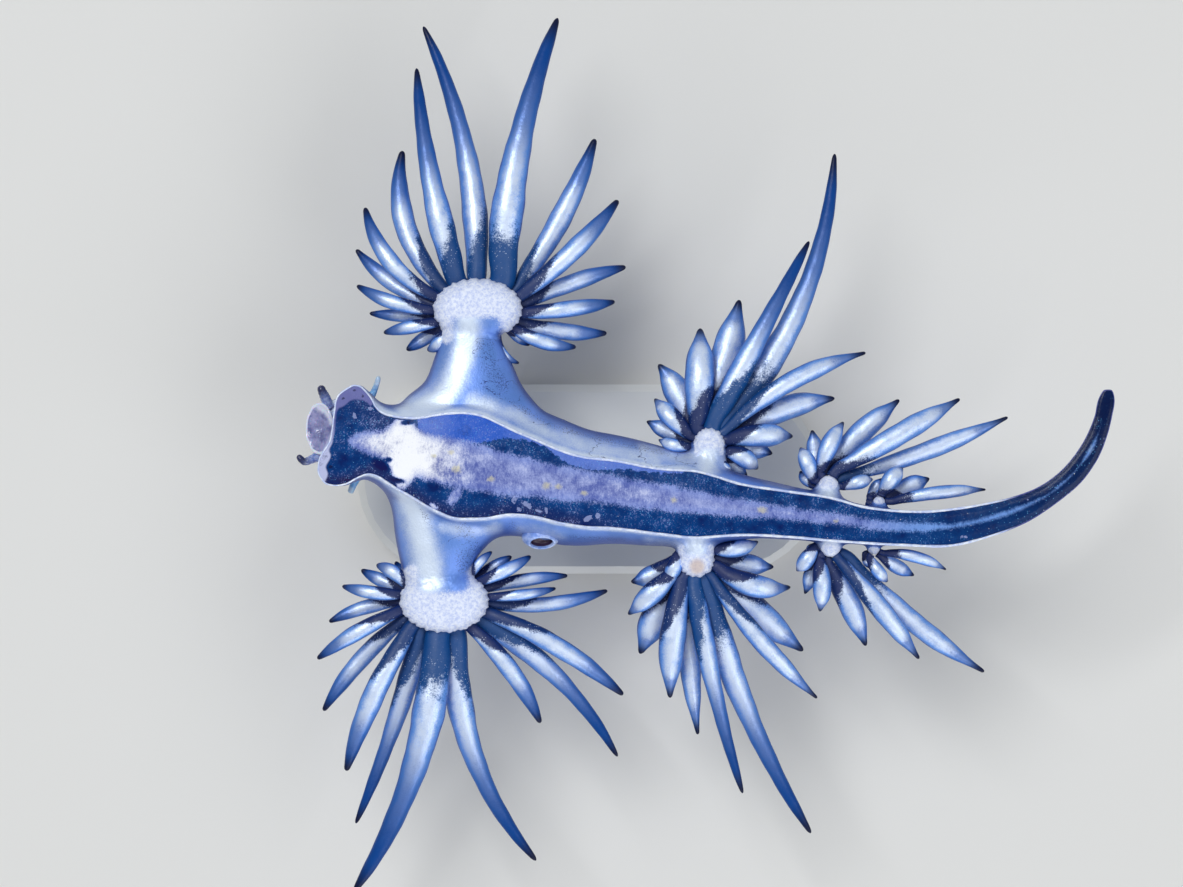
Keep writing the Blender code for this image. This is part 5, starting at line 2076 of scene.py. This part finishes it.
@dataclass
class Pore:
    """The pore on the right side: a raised pale collar round a hollow, painted dark inside as shade."""

    centre: Point3 = (-2.23, -2.90, -1.17)
    facing: Point3 = (0.06, -0.62, 0.78)
    radii: Point2 = (0.56, 0.32)
    stations: int = 52
    sides: int = 64
    profile: list[Point2] = field(default_factory=lambda: [
        (0.02, -0.30), (0.40, -0.29), (0.72, -0.24), (0.86, -0.12), (0.93, -0.01), (1.0, 0.05), (1.12, 0.04),
        (1.28, -0.06), (1.48, -0.22), (1.62, -0.45), (1.40, -0.75), (0.80, -0.95), (0.02, -1.0),
    ])

    def build(self) -> None:
        """Builds the collar and its hollow."""
        centre = below_sole(self.centre)
        fine = fine_profile(self.profile, self.stations)
        rings = turned_cup(
            centre, np.array(self.facing), np.array([1.0, 0.0, 0.0]),
            self.radii, fine.tolist(), 0.004, self.sides,
        )
        # Painted shade: the inside of the hollow gets the dark end tint
        inner = step(0.95, 0.84, fine[:, 0]) * (np.arange(len(fine)) < len(fine) / 2)
        shape = loft(rings, {"end": np.repeat(inner[:, None], self.sides, axis=1)})
        finish = PlainFinish(
            "pore_skin", (186, 204, 244), (118, 150, 218), (52, 24, 52),
            size=0.4, metallic=0.2, roughness=0.38,
        )
        made = make_object("side_pore", shape, finish.material())
        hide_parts("trunk_front")


# ---- Stand and studio


@dataclass
class Stand:
    """The display stand, which keeps its solids and gets its finishes."""

    base: str = "stand_base"
    rods: tuple[str, str] = ("stand_rod_front", "stand_rod_rear")

    def dress(self) -> None:
        """Gives the base its lacquer and the rods their steel."""
        lacquer, steel = LacquerFinish().material(), SteelFinish().material()
        for name, material in [(self.base, lacquer), *[(rod, steel) for rod in self.rods]]:
            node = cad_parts[name]
            for slot in node.material_slots:
                slot.material = material
            LOG.info("%s: %s", name, material.name)


@dataclass
class Studio:
    """Pale floor, soft lights and a camera that looks straight down on the foot."""

    centre: Point2 = (0.07, 1.68)
    frame_width: float = 54.42
    field_of_view: float = 10.0
    floor_size: float = 3000.0
    sky: tuple[float, float, float, float] = (0.86, 0.92, 1.0, 1.0)
    sky_strength: float = 0.32

    def build(self) -> None:
        """Adds the floor, the lights and the camera."""
        self.floor()
        self.light("key", (-120, 150, 350), 170, 0.82, (0.97, 0.99, 1.0))
        self.light("fill", (210, -130, 280), 220, 0.38, (0.94, 0.97, 1.0))
        self.light("rim", (40, -260, 90), 160, 0.2, (1.0, 1.0, 1.0))
        world = bpy.data.worlds.new("studio")
        world.use_nodes = True
        background = world.node_tree.nodes["Background"]
        background.inputs["Color"].default_value = self.sky
        background.inputs["Strength"].default_value = self.sky_strength
        bpy.context.scene.world = world
        bpy.context.scene.view_settings.view_transform = "Standard"
        self.camera()

    def floor(self) -> None:
        """Adds the floor under the stand."""
        half = self.floor_size / 2
        corners = np.array([
            (-half, -half, -0.02), (half, -half, -0.02), (half, half, -0.02), (-half, half, -0.02),
        ])
        mesh = bpy.data.meshes.new("floor")
        mesh.from_pydata((corners * MM).tolist(), [], [(0, 1, 2, 3)])
        mesh.materials.append(FloorFinish().material())
        made = bpy.data.objects.new("floor", mesh)
        bpy.context.scene.collection.objects.link(made)

    def light(self, name: str, place: Point3, size: float, power: float, tint: Point3) -> None:
        """Adds a square soft light that faces the model.

        Args:
            name: its name.
            place: its middle in millimetres.
            size: its side in millimetres.
            power: its power in watts.
            tint: its colour.
        """
        data = bpy.data.lights.new(name, "AREA")
        data.shape, data.size, data.energy, data.color = "SQUARE", size * MM, power, tint
        made = bpy.data.objects.new(name, data)
        made.location = Vector(place) * MM
        aim = Vector((self.centre[0], self.centre[1], 5.0)) * MM - made.location
        made.rotation_euler = aim.to_track_quat("-Z", "Y").to_euler()
        bpy.context.scene.collection.objects.link(made)

    def camera(self) -> None:
        """Adds the camera over the sole, with the head to the left."""
        data = bpy.data.cameras.new("camera")
        half = math.radians(self.field_of_view / 2)
        data.sensor_width = 36.0
        data.lens = data.sensor_width / 2 / math.tan(half)
        made = bpy.data.objects.new("camera", data)
        height = SOLE_Z + self.frame_width / 2 / math.tan(half)
        made.location = Vector((self.centre[0], self.centre[1], height)) * MM
        data.clip_start, data.clip_end = 0.01, 10.0
        bpy.context.scene.collection.objects.link(made)
        bpy.context.scene.camera = made


def main() -> None:
    """Builds the model's pieces and the studio in order."""
    logging.basicConfig(level=logging.INFO, format="%(message)s")
    foot = Foot()
    animal_fans = fans()
    Sole(foot).build()
    Body(foot, animal_fans).build()
    cerata = CerataFinish().material()
    for fan in animal_fans:
        fan.build(cerata)
    Mouth().build()
    for feeler in feelers():
        feeler.build()
    Pore().build()
    Stand().dress()
    Studio().build()


if __name__ == "__main__":
    main()
